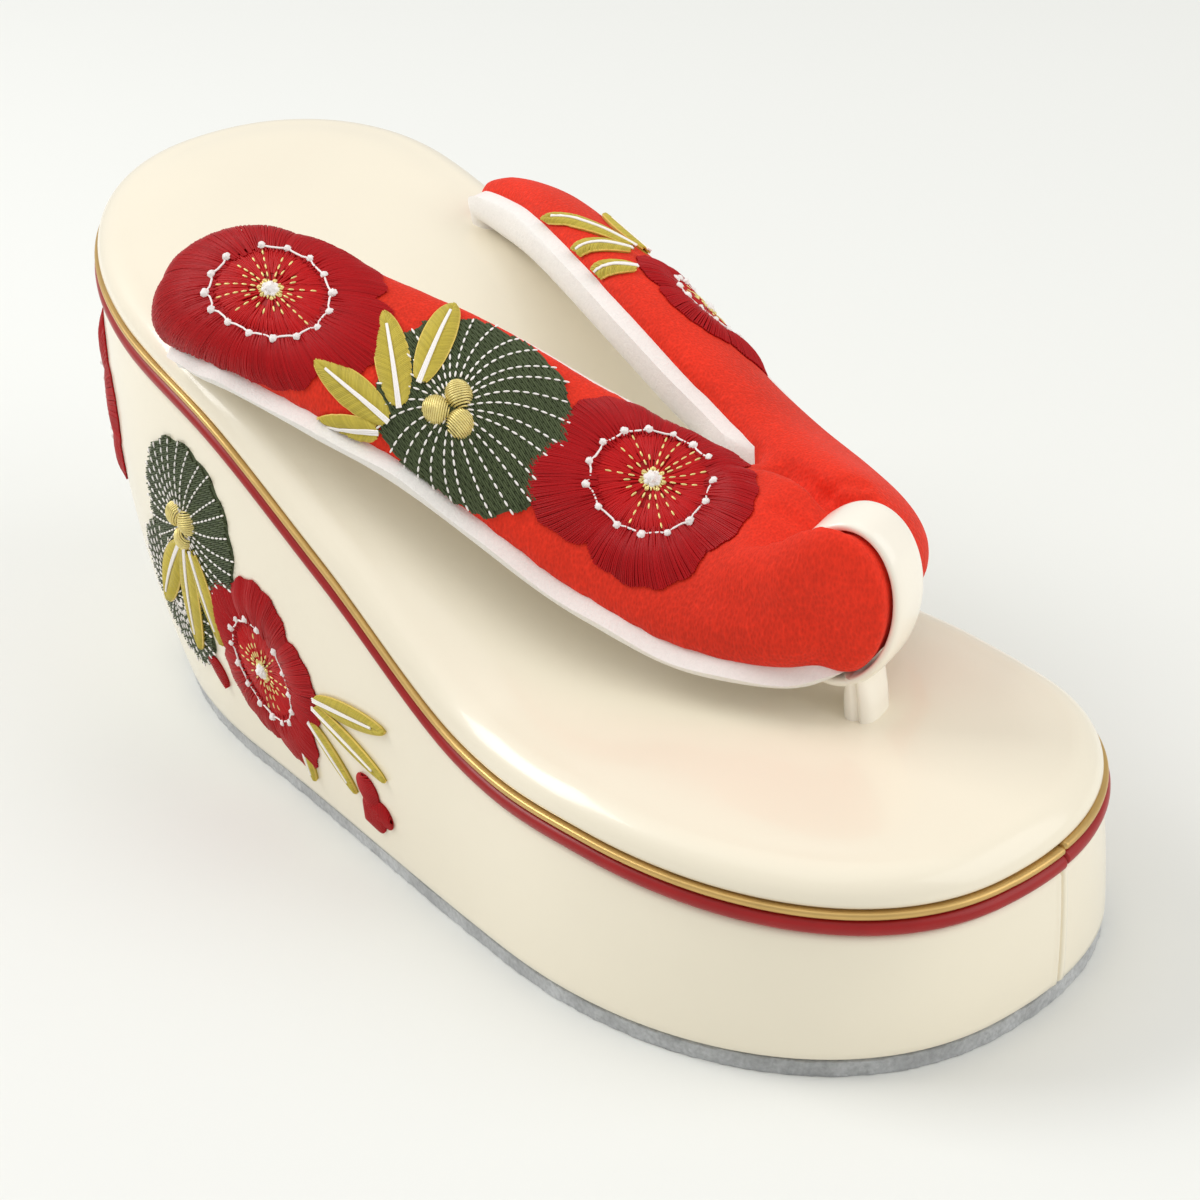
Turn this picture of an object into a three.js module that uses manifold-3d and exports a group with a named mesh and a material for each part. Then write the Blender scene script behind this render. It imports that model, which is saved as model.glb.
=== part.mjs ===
import * as THREE from 'three';
import Module from 'manifold-3d';

const wasm = await Module();
wasm.setup();

// Sole sizes, millimetres. Toe towards -Y, heel +Y, the wearer's right (outer) side -X.
const LENGTH = 240;
const OUTSOLE_THICK = 3.0;
const OUTSOLE_INSET = 0.6;
const SEAM_GAP = 0.3;
const STATIONS = 44;
const POINT_GRID = 0.0005;

// Plan outline of the welt line: an outer and an inner half, round at both ends.
const OUTLINE = {
  outer: { sign: -1, ball: 47.5, ballY: -46.8, heel: 50.0, heelY: 36.0, waist: 0 },
  inner: { sign: 1, ball: 40.9, ballY: -87.0, heel: 37.4, heelY: 81.0, waist: 6.9 },
};
const TOE_ROUND = 2.12;
const HEEL_ROUND = 2.18;
// How far the foot of the wall stands inside the welt line.
const WALL_FOOT = { toe: 2.6, ball: -1.4, heelSide: 3.0, heel: 12.0 };
// Swell of the wall outward between its foot and its top, most at the heel.
const WALL_SWELL = { toe: 0.2, ball: 0.3, heelSide: 3.0, heel: 5.6 };
const WALL_STEPS = 4;

// Height of the welt line above the floor along the length.
const RISE = [
  { y: -120, z: 30.4 },
  { y: -70, z: 34.6 },
  { y: -35, z: 38.0 },
  { y: 0, z: 57.6 },
  { y: 35, z: 74.4 },
  { y: 70, z: 80.4 },
  { y: 120, z: 87.4 },
];

// Edge trims and the padded board.
const PIPING_RADIUS = 1.45;
const PIPING_INSET = 1.0;
const PIPING_SIDES = 8;
const WALL_INSET = 0.7;
const WELT_HIGH = 1.9;
const WELT_INSET = { out: -0.1, in: 2.5 };
const BOARD_INSET = 2.8;
const RIM_INSET = 0.7;
const RIM_ROUND = 6.0;
const RIM_STEPS = 5;
const RIM_LIP = 0.4;
const CROWN_INSET = 13.2;
const BOARD_LIFT = 7.0;
const BOARD_DOME = 0.7;

// The post stands between the great toe and the next, its loop turned to face the gap between the arms.
const POST = { x: 7.3, y: -77.6, turnDeg: 113, wide: 8.0, deep: 6.0 };
const POST_TOP_LAP = 1.0;
const LOOP = { along: 1.8, lift: 21.6, reach: 9.6, rise: 14.9, leanDeg: 14, band: 9.2, thick: 1.7 };
const LOOP_STEPS = 28;
const COLUMN_SIDES = 16;
const COLUMN_SQUARENESS = 0.6;
const NECK = { wide: 8.0, deep: 8.0, depth: 6.0, rise: 5.0 };
const NECK_PLACES = [
  { x: -41.5, y: 43.0 },
  { x: 27.0, y: 52.5 },
];

// One row per strap section, rear to front: its low outer edge, its high inner edge (lifts over the
// board), the height of the padded crown and the depth of the belly.
const OUTER_ARM = [
  { lowX: -48.5, lowY: 47, lowUp: 2, highX: -43, highY: 50.5, highUp: 8, crown: 3.5, belly: 1 },
  { lowX: -49.5, lowY: 41, lowUp: 3, highX: -38.5, highY: 47, highUp: 15, crown: 7, belly: 2.2 },
  { lowX: -49.5, lowY: 33, lowUp: 5, highX: -32, highY: 41.5, highUp: 20.5, crown: 8, belly: 3 },
  { lowX: -47.4, lowY: 23.5, lowUp: 8, highX: -25.5, highY: 34, highUp: 22.5, crown: 8.5, belly: 3 },
  { lowX: -42.2, lowY: 5.6, lowUp: 13, highX: -18.7, highY: 17.4, highUp: 25, crown: 8.5, belly: 3 },
  { lowX: -35.4, lowY: -8.9, lowUp: 15, highX: -9.2, highY: 1.6, highUp: 27, crown: 8.5, belly: 3 },
  { lowX: -28.4, lowY: -22.2, lowUp: 14, highX: -0.1, highY: -14.2, highUp: 28, crown: 8.5, belly: 3 },
  { lowX: -20.8, lowY: -39.4, lowUp: 11.5, highX: 6.5, highY: -28, highUp: 30, crown: 8.5, belly: 3 },
  { lowX: -14, lowY: -58, lowUp: 8.5, highX: 9.5, highY: -44, highUp: 32, crown: 8.5, belly: 3 },
  { lowX: -4.8, lowY: -71.2, lowUp: 8, highX: 10, highY: -57.5, highUp: 31, crown: 11.5, belly: 2.2 },
  { lowX: 3.2, lowY: -76, lowUp: 10, highX: 10.5, highY: -63.5, highUp: 30, crown: 12, belly: 1.5 },
  { lowX: 9.5, lowY: -75.5, lowUp: 12, highX: 12.5, highY: -65, highUp: 29, crown: 9, belly: 1.2 },
];
const INNER_ARM = [
  { lowX: 31, lowY: 57.5, lowUp: 1.8, highX: 24, highY: 59.5, highUp: 3.2, crown: 3, belly: 0.8 },
  { lowX: 33.5, lowY: 48.5, lowUp: 3, highX: 23, highY: 52, highUp: 7.2, crown: 4.4, belly: 2 },
  { lowX: 35.5, lowY: 36.5, lowUp: 6, highX: 22.5, highY: 39.5, highUp: 11.3, crown: 5, belly: 3 },
  { lowX: 35.5, lowY: 21, lowUp: 10, highX: 19.5, highY: 24, highUp: 16.5, crown: 5, belly: 3 },
  { lowX: 35.5, lowY: 4, lowUp: 13.5, highX: 16.8, highY: 8, highUp: 22, crown: 5.5, belly: 3 },
  { lowX: 36, lowY: -8, lowUp: 15, highX: 15.5, highY: -4, highUp: 25, crown: 5.5, belly: 3 },
  { lowX: 36.5, lowY: -20, lowUp: 16, highX: 15.8, highY: -16, highUp: 27, crown: 5.5, belly: 3 },
  { lowX: 37, lowY: -34, lowUp: 16.5, highX: 17, highY: -28, highUp: 28, crown: 6.2, belly: 3 },
  { lowX: 36.5, lowY: -50, lowUp: 15, highX: 15.5, highY: -42, highUp: 30, crown: 7, belly: 3 },
  { lowX: 31.5, lowY: -64.5, lowUp: 11, highX: 14, highY: -56, highUp: 31, crown: 8.3, belly: 2.2 },
  { lowX: 20.5, lowY: -71.5, lowUp: 10, highX: 12, highY: -63, highUp: 30, crown: 7.5, belly: 1.5 },
  { lowX: 9, lowY: -74.5, lowUp: 11, highX: 8.5, highY: -65.5, highUp: 29, crown: 7, belly: 1.2 },
];
const ARM_STEPS = 22;
const PAD_SIDES = 24;
const PAD_FULLNESS = 0.88;
const PAD_BLUNT = 0.5;
const PAD_INNER_DEPTH = 2.4;
const PAD_TUCK = 0.9;
const PAD_SLOPE_STEP = 0.02;
const LINING = { thick: 1.5, sunk: 0.8, fromDeg: 174, toDeg: 359, sides: 14, firstStep: 2 };

const FINISH = {
  outsole: { colour: '#9aa2a9', rough: 0.95 },
  platform: { colour: '#ebe2cf', rough: 0.4 },
  piping: { colour: '#b0231f', rough: 0.3 },
  welt: { colour: '#c79b4c', rough: 0.35 },
  board: { colour: '#f3ecdc', rough: 0.35 },
  cover: { colour: '#d9321f', rough: 0.85 },
  lining: { colour: '#f5f1ea', rough: 0.95 },
  post: { colour: '#f0e7d3', rough: 0.4 },
};

const rad = THREE.MathUtils.degToRad;
const mix = (a, b, t) => a + (b - a) * t;
const ease = (t) => t * t * (3 - 2 * t);
const signedPower = (v, power) => Math.sign(v) * Math.abs(v) ** power;

// Smooth curve through a table's rows: value of one column at a place along another.
function tableAt(rows, place, column, at) {
  const last = rows.length - 1;
  let k = 0;
  while (k < last - 1 && at > rows[k + 1][place]) k += 1;
  const slope = (j) => {
    const a = rows[Math.max(j - 1, 0)];
    const b = rows[Math.min(j + 1, last)];
    return (b[column] - a[column]) / (b[place] - a[place]);
  };
  const span = rows[k + 1][place] - rows[k][place];
  const t = Math.min(Math.max((at - rows[k][place]) / span, 0), 1);
  const h = t * t * t;
  const q = t * t;
  return rows[k][column] * (2 * h - 3 * q + 1) + rows[k + 1][column] * (3 * q - 2 * h)
    + span * (slope(k) * (h - 2 * q + t) + slope(k + 1) * (h - q));
}

const weltZ = (y) => tableAt(RISE, 'y', 'z', y);
const boardZ = (y) => weltZ(y) + BOARD_LIFT;

// A point of the plan outline: station 0 at the toe, STATIONS at the heel.
function edgePoint(station, half, inset) {
  const ins = typeof inset === 'number' ? evenly(inset) : inset;
  const toe = -LENGTH / 2 + ins.toe;
  const heel = LENGTH / 2 - ins.heel;
  const y = mix(toe, heel, (1 - Math.cos((Math.PI * station) / STATIONS)) / 2);
  const ball = half.ball - ins.ball;
  const wide = half.heel - ins.heelSide;
  let w;
  if (y < half.ballY) {
    const u = Math.min((half.ballY - y) / (half.ballY - toe), 1);
    w = ball * (1 - u ** TOE_ROUND) ** (1 / TOE_ROUND);
  } else if (y > half.heelY) {
    const u = Math.min((y - half.heelY) / (heel - half.heelY), 1);
    w = wide * (1 - u ** HEEL_ROUND) ** (1 / HEEL_ROUND);
  } else {
    const t = (y - half.ballY) / (half.heelY - half.ballY);
    w = mix(ball, wide, ease(t)) - half.waist * 16 * (t * (1 - t)) ** 2;
  }
  return { x: half.sign * w, y };
}

// Closed mesh from like-sized closed rings; ends are capped unless the run closes on itself.
function skin(rings, closed = false) {
  const count = rings[0].length;
  const points = [];
  const index = [];
  const seen = new Map();
  const key = (p) => p.map((c) => Math.round(c / POINT_GRID)).join(',');
  const id = (p) => {
    const k = key(p);
    if (!seen.has(k)) {
      seen.set(k, points.length / 3);
      points.push(...p);
    }
    return seen.get(k);
  };
  const ids = rings.map((ring) => ring.map(id));
  const face = (a, b, c) => {
    if (a !== b && b !== c && c !== a) index.push(a, b, c);
  };
  const runs = closed ? rings.length : rings.length - 1;
  for (let i = 0; i < runs; i += 1) {
    const a = ids[i];
    const b = ids[(i + 1) % rings.length];
    for (let j = 0; j < count; j += 1) {
      const k = (j + 1) % count;
      face(a[j], b[j], b[k]);
      face(a[j], b[k], a[k]);
    }
  }
  if (!closed) {
    const first = ids[0];
    const final = ids[ids.length - 1];
    for (let j = 0; j < count / 2 - 1; j += 1) {
      const k = count - 1 - j;
      face(first[j], first[j + 1], first[k - 1]);
      face(first[j], first[k - 1], first[k]);
      face(final[j], final[k - 1], final[j + 1]);
      face(final[j], final[k], final[k - 1]);
    }
  }
  return facedOut(points, index);
}

function facedOut(points, index) {
  const at = (i) => new THREE.Vector3(points[3 * i], points[3 * i + 1], points[3 * i + 2]);
  let volume = 0;
  for (let i = 0; i < index.length; i += 3) {
    volume += at(index[i]).dot(at(index[i + 1]).cross(at(index[i + 2])));
  }
  const turned = [];
  for (let i = 0; i < index.length; i += 3) {
    turned.push(index[i], index[i + (volume < 0 ? 2 : 1)], index[i + (volume < 0 ? 1 : 2)]);
  }
  const geometry = new THREE.BufferGeometry();
  geometry.setAttribute('position', new THREE.Float32BufferAttribute(points, 3));
  geometry.setIndex(turned);
  return geometry;
}

function toSolid(geometry) {
  const mesh = new wasm.Mesh({
    numProp: 3,
    vertProperties: new Float32Array(geometry.getAttribute('position').array),
    triVerts: new Uint32Array(geometry.getIndex().array),
  });
  mesh.merge();
  return new wasm.Manifold(mesh);
}

// The largest body of a joined or cut solid, as a mesh.
function toGeometry(solid) {
  const bodies = solid.decompose();
  bodies.sort((a, b) => b.volume() - a.volume());
  const mesh = bodies[0].getMesh();
  const geometry = new THREE.BufferGeometry();
  geometry.setAttribute('position', new THREE.Float32BufferAttribute(mesh.vertProperties, 3));
  geometry.setIndex(Array.from(mesh.triVerts));
  return geometry;
}

function node(name, geometry, finish) {
  const flat = geometry.index ? geometry.toNonIndexed() : geometry;
  flat.computeVertexNormals();
  const material = new THREE.MeshStandardMaterial({ color: finish.colour, roughness: finish.rough });
  const mesh = new THREE.Mesh(flat, material);
  mesh.name = name;
  return mesh;
}

const stationList = Array.from({ length: STATIONS + 1 }, (_, i) => i);

const blend = (a, b, t, swell) => {
  const at = (key) => mix(a[key], b[key], t) - swell[key] * 4 * t * (1 - t);
  return { toe: at('toe'), ball: at('ball'), heelSide: at('heelSide'), heel: at('heel') };
};
const evenly = (d) => ({ toe: d, ball: d, heelSide: d, heel: d });

// One station of a slab between two plan outlines, the wall between them swelling outward.
function wallRing(station, foot, top, swell, steps) {
  const side = (half) => Array.from({ length: steps + 1 }, (_, k) => {
    const t = k / steps;
    const p = edgePoint(station, half, blend(foot.inset, top.inset, t, swell));
    return [p.x, p.y, mix(foot.z, top.height(p.y), t)];
  });
  return [...side(OUTLINE.inner), ...side(OUTLINE.outer).reverse()];
}

function makeOutsole() {
  const inset = blend(WALL_FOOT, evenly(0), 0, evenly(0));
  Object.keys(inset).forEach((key) => {
    inset[key] += OUTSOLE_INSET;
  });
  const foot = { inset, z: 0 };
  const top = { inset, height: () => OUTSOLE_THICK };
  return skin(stationList.map((s) => wallRing(s, foot, top, evenly(0), 1)));
}

function makePlatform() {
  const foot = { inset: WALL_FOOT, z: OUTSOLE_THICK + SEAM_GAP };
  const top = { inset: evenly(WALL_INSET), height: (y) => weltZ(y) - 2 * PIPING_RADIUS - SEAM_GAP };
  return skin(stationList.map((s) => wallRing(s, foot, top, WALL_SWELL, WALL_STEPS)));
}

// Points once round the plan outline at one inset, with their outward directions.
function roundTheEdge(inset) {
  const outer = stationList.map((s) => edgePoint(s, OUTLINE.outer, inset));
  const inner = stationList.slice(1, -1).reverse().map((s) => edgePoint(s, OUTLINE.inner, inset));
  const path = [...outer, ...inner];
  return path.map((p, i) => {
    const a = path[(i + path.length - 1) % path.length];
    const b = path[(i + 1) % path.length];
    const out = new THREE.Vector2(a.y - b.y, b.x - a.x).normalize();
    if (out.x * p.x + out.y * p.y < 0) out.negate();
    return { ...p, out };
  });
}

function makePiping() {
  const rings = roundTheEdge(PIPING_INSET).map((p) => {
    const ring = [];
    for (let k = 0; k < PIPING_SIDES; k += 1) {
      const a = ((k + 0.5) / PIPING_SIDES) * Math.PI * 2;
      const reach = PIPING_RADIUS * Math.cos(a);
      const z = weltZ(p.y) - PIPING_RADIUS + PIPING_RADIUS * Math.sin(a);
      ring.push([p.x + p.out.x * reach, p.y + p.out.y * reach, z]);
    }
    return ring;
  });
  return skin(rings, true);
}

function makeWelt() {
  const out = roundTheEdge(WELT_INSET.out);
  const inside = roundTheEdge(WELT_INSET.in);
  const rings = out.map((p, i) => {
    const q = inside[i];
    const low = SEAM_GAP;
    const high = SEAM_GAP + WELT_HIGH;
    return [
      [p.x, p.y, weltZ(p.y) + low], [p.x, p.y, weltZ(p.y) + high],
      [q.x, q.y, weltZ(q.y) + high], [q.x, q.y, weltZ(q.y) + low],
    ];
  });
  return skin(rings, true);
}

// Half of a board section, from its underside out round the rim to the top.
function boardHalf(station, half) {
  const place = (inset, lift) => {
    const p = edgePoint(station, half, inset);
    return [p.x, p.y, weltZ(p.y) + lift];
  };
  const seat = WELT_HIGH + 2 * SEAM_GAP;
  const boss = BOARD_INSET + SEAM_GAP;
  const climb = BOARD_LIFT - seat;
  const points = [place(boss, -2 * PIPING_RADIUS), place(boss, seat), place(RIM_INSET, seat)];
  for (let k = 0; k <= RIM_STEPS; k += 1) {
    const a = (k / RIM_STEPS) * (Math.PI / 2);
    const up = seat + mix(RIM_LIP, climb, Math.sin(a));
    points.push(place(RIM_INSET + RIM_ROUND * (1 - Math.cos(a)), up));
  }
  points.push(place(RIM_INSET + CROWN_INSET, BOARD_LIFT + BOARD_DOME));
  return points;
}

function makeBoard() {
  const rings = stationList.map((s) => {
    return [...boardHalf(s, OUTLINE.inner), ...boardHalf(s, OUTLINE.outer).reverse()];
  });
  return skin(rings);
}

const along = new THREE.Vector2(Math.cos(rad(POST.turnDeg)), Math.sin(rad(POST.turnDeg)));
const outward = new THREE.Vector2(-along.y, along.x);
const overBoard = (x, y, lift) => new THREE.Vector3(x, y, boardZ(y) + lift);

// Sections of one arm: middle, half width, the direction across and the direction away from the foot.
function armFrames(table, side) {
  const rows = table.map((row, i) => ({ ...row, at: i }));
  const frames = [];
  for (let i = 0; i <= ARM_STEPS; i += 1) {
    const at = (i / ARM_STEPS) * (rows.length - 1);
    const get = (column) => tableAt(rows, 'at', column, at);
    const low = overBoard(get('lowX'), get('lowY'), get('lowUp'));
    const high = overBoard(get('highX'), get('highY'), get('highUp'));
    const centre = low.clone().add(high).multiplyScalar(0.5);
    frames.push({ low, high, centre, crown: get('crown'), belly: get('belly') });
  }
  frames.forEach((frame, i) => {
    const next = frames[Math.min(i + 1, ARM_STEPS)].centre;
    const last = frames[Math.max(i - 1, 0)].centre;
    frame.run = next.clone().sub(last).normalize();
    frame.half = frame.high.distanceTo(frame.low) / 2;
    frame.across = frame.high.clone().sub(frame.low).normalize();
    frame.out = frame.run.clone().cross(frame.across).multiplyScalar(side).normalize();
  });
  return frames;
}

// A point of the padded section at an angle from its inner edge, grown outward by some thickness.
// The underside is deepest at the inner edge, where the pad is blunt, and thins towards the outer edge.
function padPoint(frame, angle, grow) {
  const flat = (a) => {
    const c = Math.cos(a);
    const v = Math.sin(a);
    const under = v < 0;
    const blunt = under && c > 0 ? PAD_BLUNT : PAD_FULLNESS;
    const across = signedPower(c, blunt) * (under && c > 0 ? PAD_TUCK : 1);
    const deep = under ? frame.belly * mix(1, PAD_INNER_DEPTH, (across + 1) / 2) : frame.crown;
    return new THREE.Vector2(frame.half * across, deep * signedPower(v, blunt));
  };
  const slope = flat(angle + PAD_SLOPE_STEP).sub(flat(angle - PAD_SLOPE_STEP));
  const normal = new THREE.Vector2(slope.y, -slope.x).normalize();
  const p = flat(angle).addScaledVector(normal, grow);
  const q = frame.centre.clone().addScaledVector(frame.across, p.x).addScaledVector(frame.out, p.y);
  return [q.x, q.y, q.z];
}

// One arm's pad, grown all round and past both ends by some thickness.
function makePad(table, side, grow) {
  const angles = Array.from({ length: PAD_SIDES }, (_, k) => ((k + 0.5) / PAD_SIDES) * Math.PI * 2);
  const rings = armFrames(table, side).map((frame, i) => {
    const past = grow * (Number(i === ARM_STEPS) - Number(i === 0));
    const centre = frame.centre.clone().addScaledVector(frame.run, past);
    return angles.map((a) => padPoint({ ...frame, centre }, a, grow));
  });
  return skin(rings);
}

function makeLiningArm(table, side) {
  const rings = armFrames(table, side).slice(LINING.firstStep).map((frame) => {
    const angles = Array.from({ length: LINING.sides + 1 }, (_, k) => {
      return rad(mix(LINING.fromDeg, LINING.toDeg, k / LINING.sides));
    });
    const near = angles.map((a) => padPoint(frame, a, -LINING.sunk));
    const far = angles.reverse().map((a) => padPoint(frame, a, SEAM_GAP + LINING.thick));
    return [...near, ...far];
  });
  return skin(rings);
}

// An upright block with rounded plan at a place on the board.
function makeColumn(place, wide, deep, fromLift, toLift) {
  const ring = (lift) => Array.from({ length: COLUMN_SIDES }, (_, k) => {
    const a = (k / COLUMN_SIDES) * Math.PI * 2;
    const across = (wide / 2) * signedPower(Math.cos(a), COLUMN_SQUARENESS);
    const fore = (deep / 2) * signedPower(Math.sin(a), COLUMN_SQUARENESS);
    const x = place.x + outward.x * across + along.x * fore;
    const y = place.y + outward.y * across + along.y * fore;
    return [x, y, place.z + lift];
  });
  return skin([ring(fromLift), ring(toLift)]);
}

// The loop's band round the V, as a ring of a given reach outside its middle line.
function makeLoop(inside, outside, band) {
  const base = boardZ(POST.y);
  const lean = rad(LOOP.leanDeg);
  const rings = Array.from({ length: LOOP_STEPS }, (_, k) => {
    const a = (k / LOOP_STEPS) * Math.PI * 2;
    const place = (grow, across) => {
      const u = (LOOP.reach + grow) * Math.cos(a);
      const v = (LOOP.rise + grow) * Math.sin(a);
      const fore = LOOP.along + u * Math.cos(lean) - v * Math.sin(lean);
      const lift = LOOP.lift + u * Math.sin(lean) + v * Math.cos(lean);
      const x = POST.x + along.x * fore + outward.x * across;
      const y = POST.y + along.y * fore + outward.y * across;
      return [x, y, base + lift];
    };
    const edge = band / 2;
    return [place(inside, -edge), place(outside, -edge), place(outside, edge), place(inside, edge)];
  });
  return skin(rings, true);
}

const postFoot = overBoard(POST.x, POST.y, 0);
const boardDeep = BOARD_LIFT + 2 * PIPING_RADIUS - SEAM_GAP;
const clear = 2 * SEAM_GAP;

const pads = (grow) => toSolid(makePad(OUTER_ARM, 1, grow)).add(toSolid(makePad(INNER_ARM, -1, grow)));
const halfBand = LOOP.thick / 2;
const loopRoom = toSolid(makeLoop(-halfBand - SEAM_GAP, halfBand + SEAM_GAP, LOOP.band + clear));
const neckFeet = NECK_PLACES.map((place) => overBoard(place.x, place.y, 0));
const neckStubs = neckFeet.map((foot) => {
  return toSolid(makeColumn(foot, NECK.wide, NECK.deep, -NECK.depth, NECK.rise));
});
const neckRooms = neckFeet.map((foot) => {
  return toSolid(makeColumn(foot, NECK.wide + clear, NECK.deep + clear, -NECK.depth - SEAM_GAP, NECK.rise));
});
const postTop = LOOP.lift - LOOP.rise + POST_TOP_LAP;
const postHole = { wide: POST.wide + clear, deep: POST.deep + clear };
const postStub = toSolid(makeColumn(postFoot, POST.wide, POST.deep, -boardDeep, postTop));
const postRoom = toSolid(makeColumn(postFoot, postHole.wide, postHole.deep, -2 * boardDeep, NECK.rise));

const boardSolid = toSolid(makeBoard()).subtract(postRoom).subtract(neckRooms[0]).subtract(neckRooms[1]);
const coverSolid = pads(0).add(neckStubs[0]).add(neckStubs[1]).subtract(loopRoom);
const liningSolid = toSolid(makeLiningArm(OUTER_ARM, 1)).add(toSolid(makeLiningArm(INNER_ARM, -1)))
  .subtract(pads(SEAM_GAP)).subtract(neckRooms[0]).subtract(neckRooms[1]).subtract(loopRoom);
const toePost = toSolid(makeLoop(-halfBand, halfBand, LOOP.band)).add(postStub);

const zori = new THREE.Group();
zori.name = 'zori';
zori.add(node('outsole', makeOutsole(), FINISH.outsole));
zori.add(node('platform', makePlatform(), FINISH.platform));
zori.add(node('red_piping', makePiping(), FINISH.piping));
zori.add(node('gold_welt', makeWelt(), FINISH.welt));
zori.add(node('top_cushion', toGeometry(boardSolid), FINISH.board));
zori.add(node('strap_cover', toGeometry(coverSolid), FINISH.cover));
zori.add(node('strap_lining', toGeometry(liningSolid), FINISH.lining));
zori.add(node('toe_post', toGeometry(toePost), FINISH.post));

// The middle of the footprint's bounding box is put on the origin, the outsole on the floor.
const box = new THREE.Box3().setFromObject(zori);
const middle = box.getCenter(new THREE.Vector3());
zori.children.forEach((mesh) => mesh.geometry.translate(-middle.x, -middle.y, -box.min.z));

export default zori;
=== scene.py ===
"""A right zori sandal on a high wedge sole, with padded, embroidered crepe straps."""

import math
import random

import bmesh
import bpy
import numpy as np
from mathutils import Matrix, Vector
from mathutils.bvhtree import BVHTree


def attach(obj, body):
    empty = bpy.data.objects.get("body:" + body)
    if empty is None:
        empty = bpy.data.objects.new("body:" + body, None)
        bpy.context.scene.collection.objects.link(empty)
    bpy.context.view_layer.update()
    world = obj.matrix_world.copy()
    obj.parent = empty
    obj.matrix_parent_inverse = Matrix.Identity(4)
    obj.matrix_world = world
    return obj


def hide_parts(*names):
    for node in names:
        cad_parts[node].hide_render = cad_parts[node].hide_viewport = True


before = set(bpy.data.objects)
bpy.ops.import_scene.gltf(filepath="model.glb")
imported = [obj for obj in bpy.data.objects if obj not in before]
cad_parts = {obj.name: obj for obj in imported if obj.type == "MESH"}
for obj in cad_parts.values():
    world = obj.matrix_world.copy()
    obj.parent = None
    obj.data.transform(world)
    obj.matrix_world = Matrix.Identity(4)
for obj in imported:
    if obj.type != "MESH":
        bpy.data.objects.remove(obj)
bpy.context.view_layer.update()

bl_info = {
    "name": "Zori sandal",
    "version": (1, 0, 0),
    "blender": (4, 5, 0),
    "location": "View3D > Sidebar > Zori",
    "description": "Builds a right zori sandal with embroidered straps and wall",
    "category": "Add Mesh",
}

# Sizes below are millimetres unless a name says otherwise. The toe points towards -Y, the
# wearer's right (outer) side lies towards -X, and the sole stands on z = 0.
MM = 0.001
BODY = "root"
SEED = 7
TINY = 1e-9


def named_rows(columns, *rows):
    """A table's rows, each value under its column's name."""
    return [dict(zip(columns, row)) for row in rows]


LENGTH = 240.0
OUTLINE_SHIFT = 4.84
SEAM_GAP = 0.3
OUTER_HALF = {"sign": -1, "ball": 47.5, "ball_y": -46.8, "heel": 50.0, "heel_y": 36.0, "waist": 0.0}
INNER_HALF = {"sign": 1, "ball": 40.9, "ball_y": -87.0, "heel": 37.4, "heel_y": 81.0, "waist": 6.9}
TOE_ROUND = 2.12
HEEL_ROUND = 2.18
WALL_FOOT = {"toe": 2.6, "ball": -1.4, "heel_side": 3.0, "heel": 12.0}
WALL_SWELL = {"toe": 0.2, "ball": 0.3, "heel_side": 3.0, "heel": 5.6}
WALL_INSET = 0.7
OUTSOLE_INSET = 0.6
RISE = named_rows(
    ("y", "z"),
    (-120, 30.4), (-70, 34.6), (-35, 38.0), (0, 57.6), (35, 74.4), (70, 80.4), (120, 87.4),
)
PIPING_INSET = 1.0
WELT_OUT = -0.1
WELT_IN = 2.5
BOARD_INSET = 2.8
RIM_INSET = 0.7
RIM_LIP = 0.4
CROWN_INSET = 13.2
CENTRE_INSET = 28.0
BOARD_DOME = 0.7
TOE_SEAM_FROM_TIP = 13.0
FAR_FROM_SEAM = 99.0

POST = {"x": 7.3, "y": -77.6, "turn_deg": 113, "wide": 8.0, "deep": 6.0}
LOOP = {"along": 1.8, "lift": 21.6, "reach": 9.6, "rise": 14.9, "lean_deg": 14}
# Where the strap ends go into the cushion, as x and y.
NECK_PLACES = [(-41.5, 43.0), (27.0, 52.5)]

# One row per strap section, rear to front: low outer edge, high inner edge, crown and belly.
ARM_COLUMNS = ("low_x", "low_y", "low_up", "high_x", "high_y", "high_up", "crown", "belly")
OUTER_ARM = named_rows(
    ARM_COLUMNS,
    (-48.5, 47, 2, -43, 50.5, 8, 3.5, 1),
    (-49.5, 41, 3, -38.5, 47, 15, 7, 2.2),
    (-49.5, 33, 5, -32, 41.5, 20.5, 8, 3),
    (-47.4, 23.5, 8, -25.5, 34, 22.5, 8.5, 3),
    (-42.2, 5.6, 13, -18.7, 17.4, 25, 8.5, 3),
    (-35.4, -8.9, 15, -9.2, 1.6, 27, 8.5, 3),
    (-28.4, -22.2, 14, -0.1, -14.2, 28, 8.5, 3),
    (-20.8, -39.4, 11.5, 6.5, -28, 30, 8.5, 3),
    (-14, -58, 8.5, 9.5, -44, 32, 8.5, 3),
    (-4.8, -71.2, 8, 10, -57.5, 31, 11.5, 2.2),
    (3.2, -76, 10, 10.5, -63.5, 30, 12, 1.5),
    (9.5, -75.5, 12, 12.5, -65, 29, 9, 1.2),
)
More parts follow.
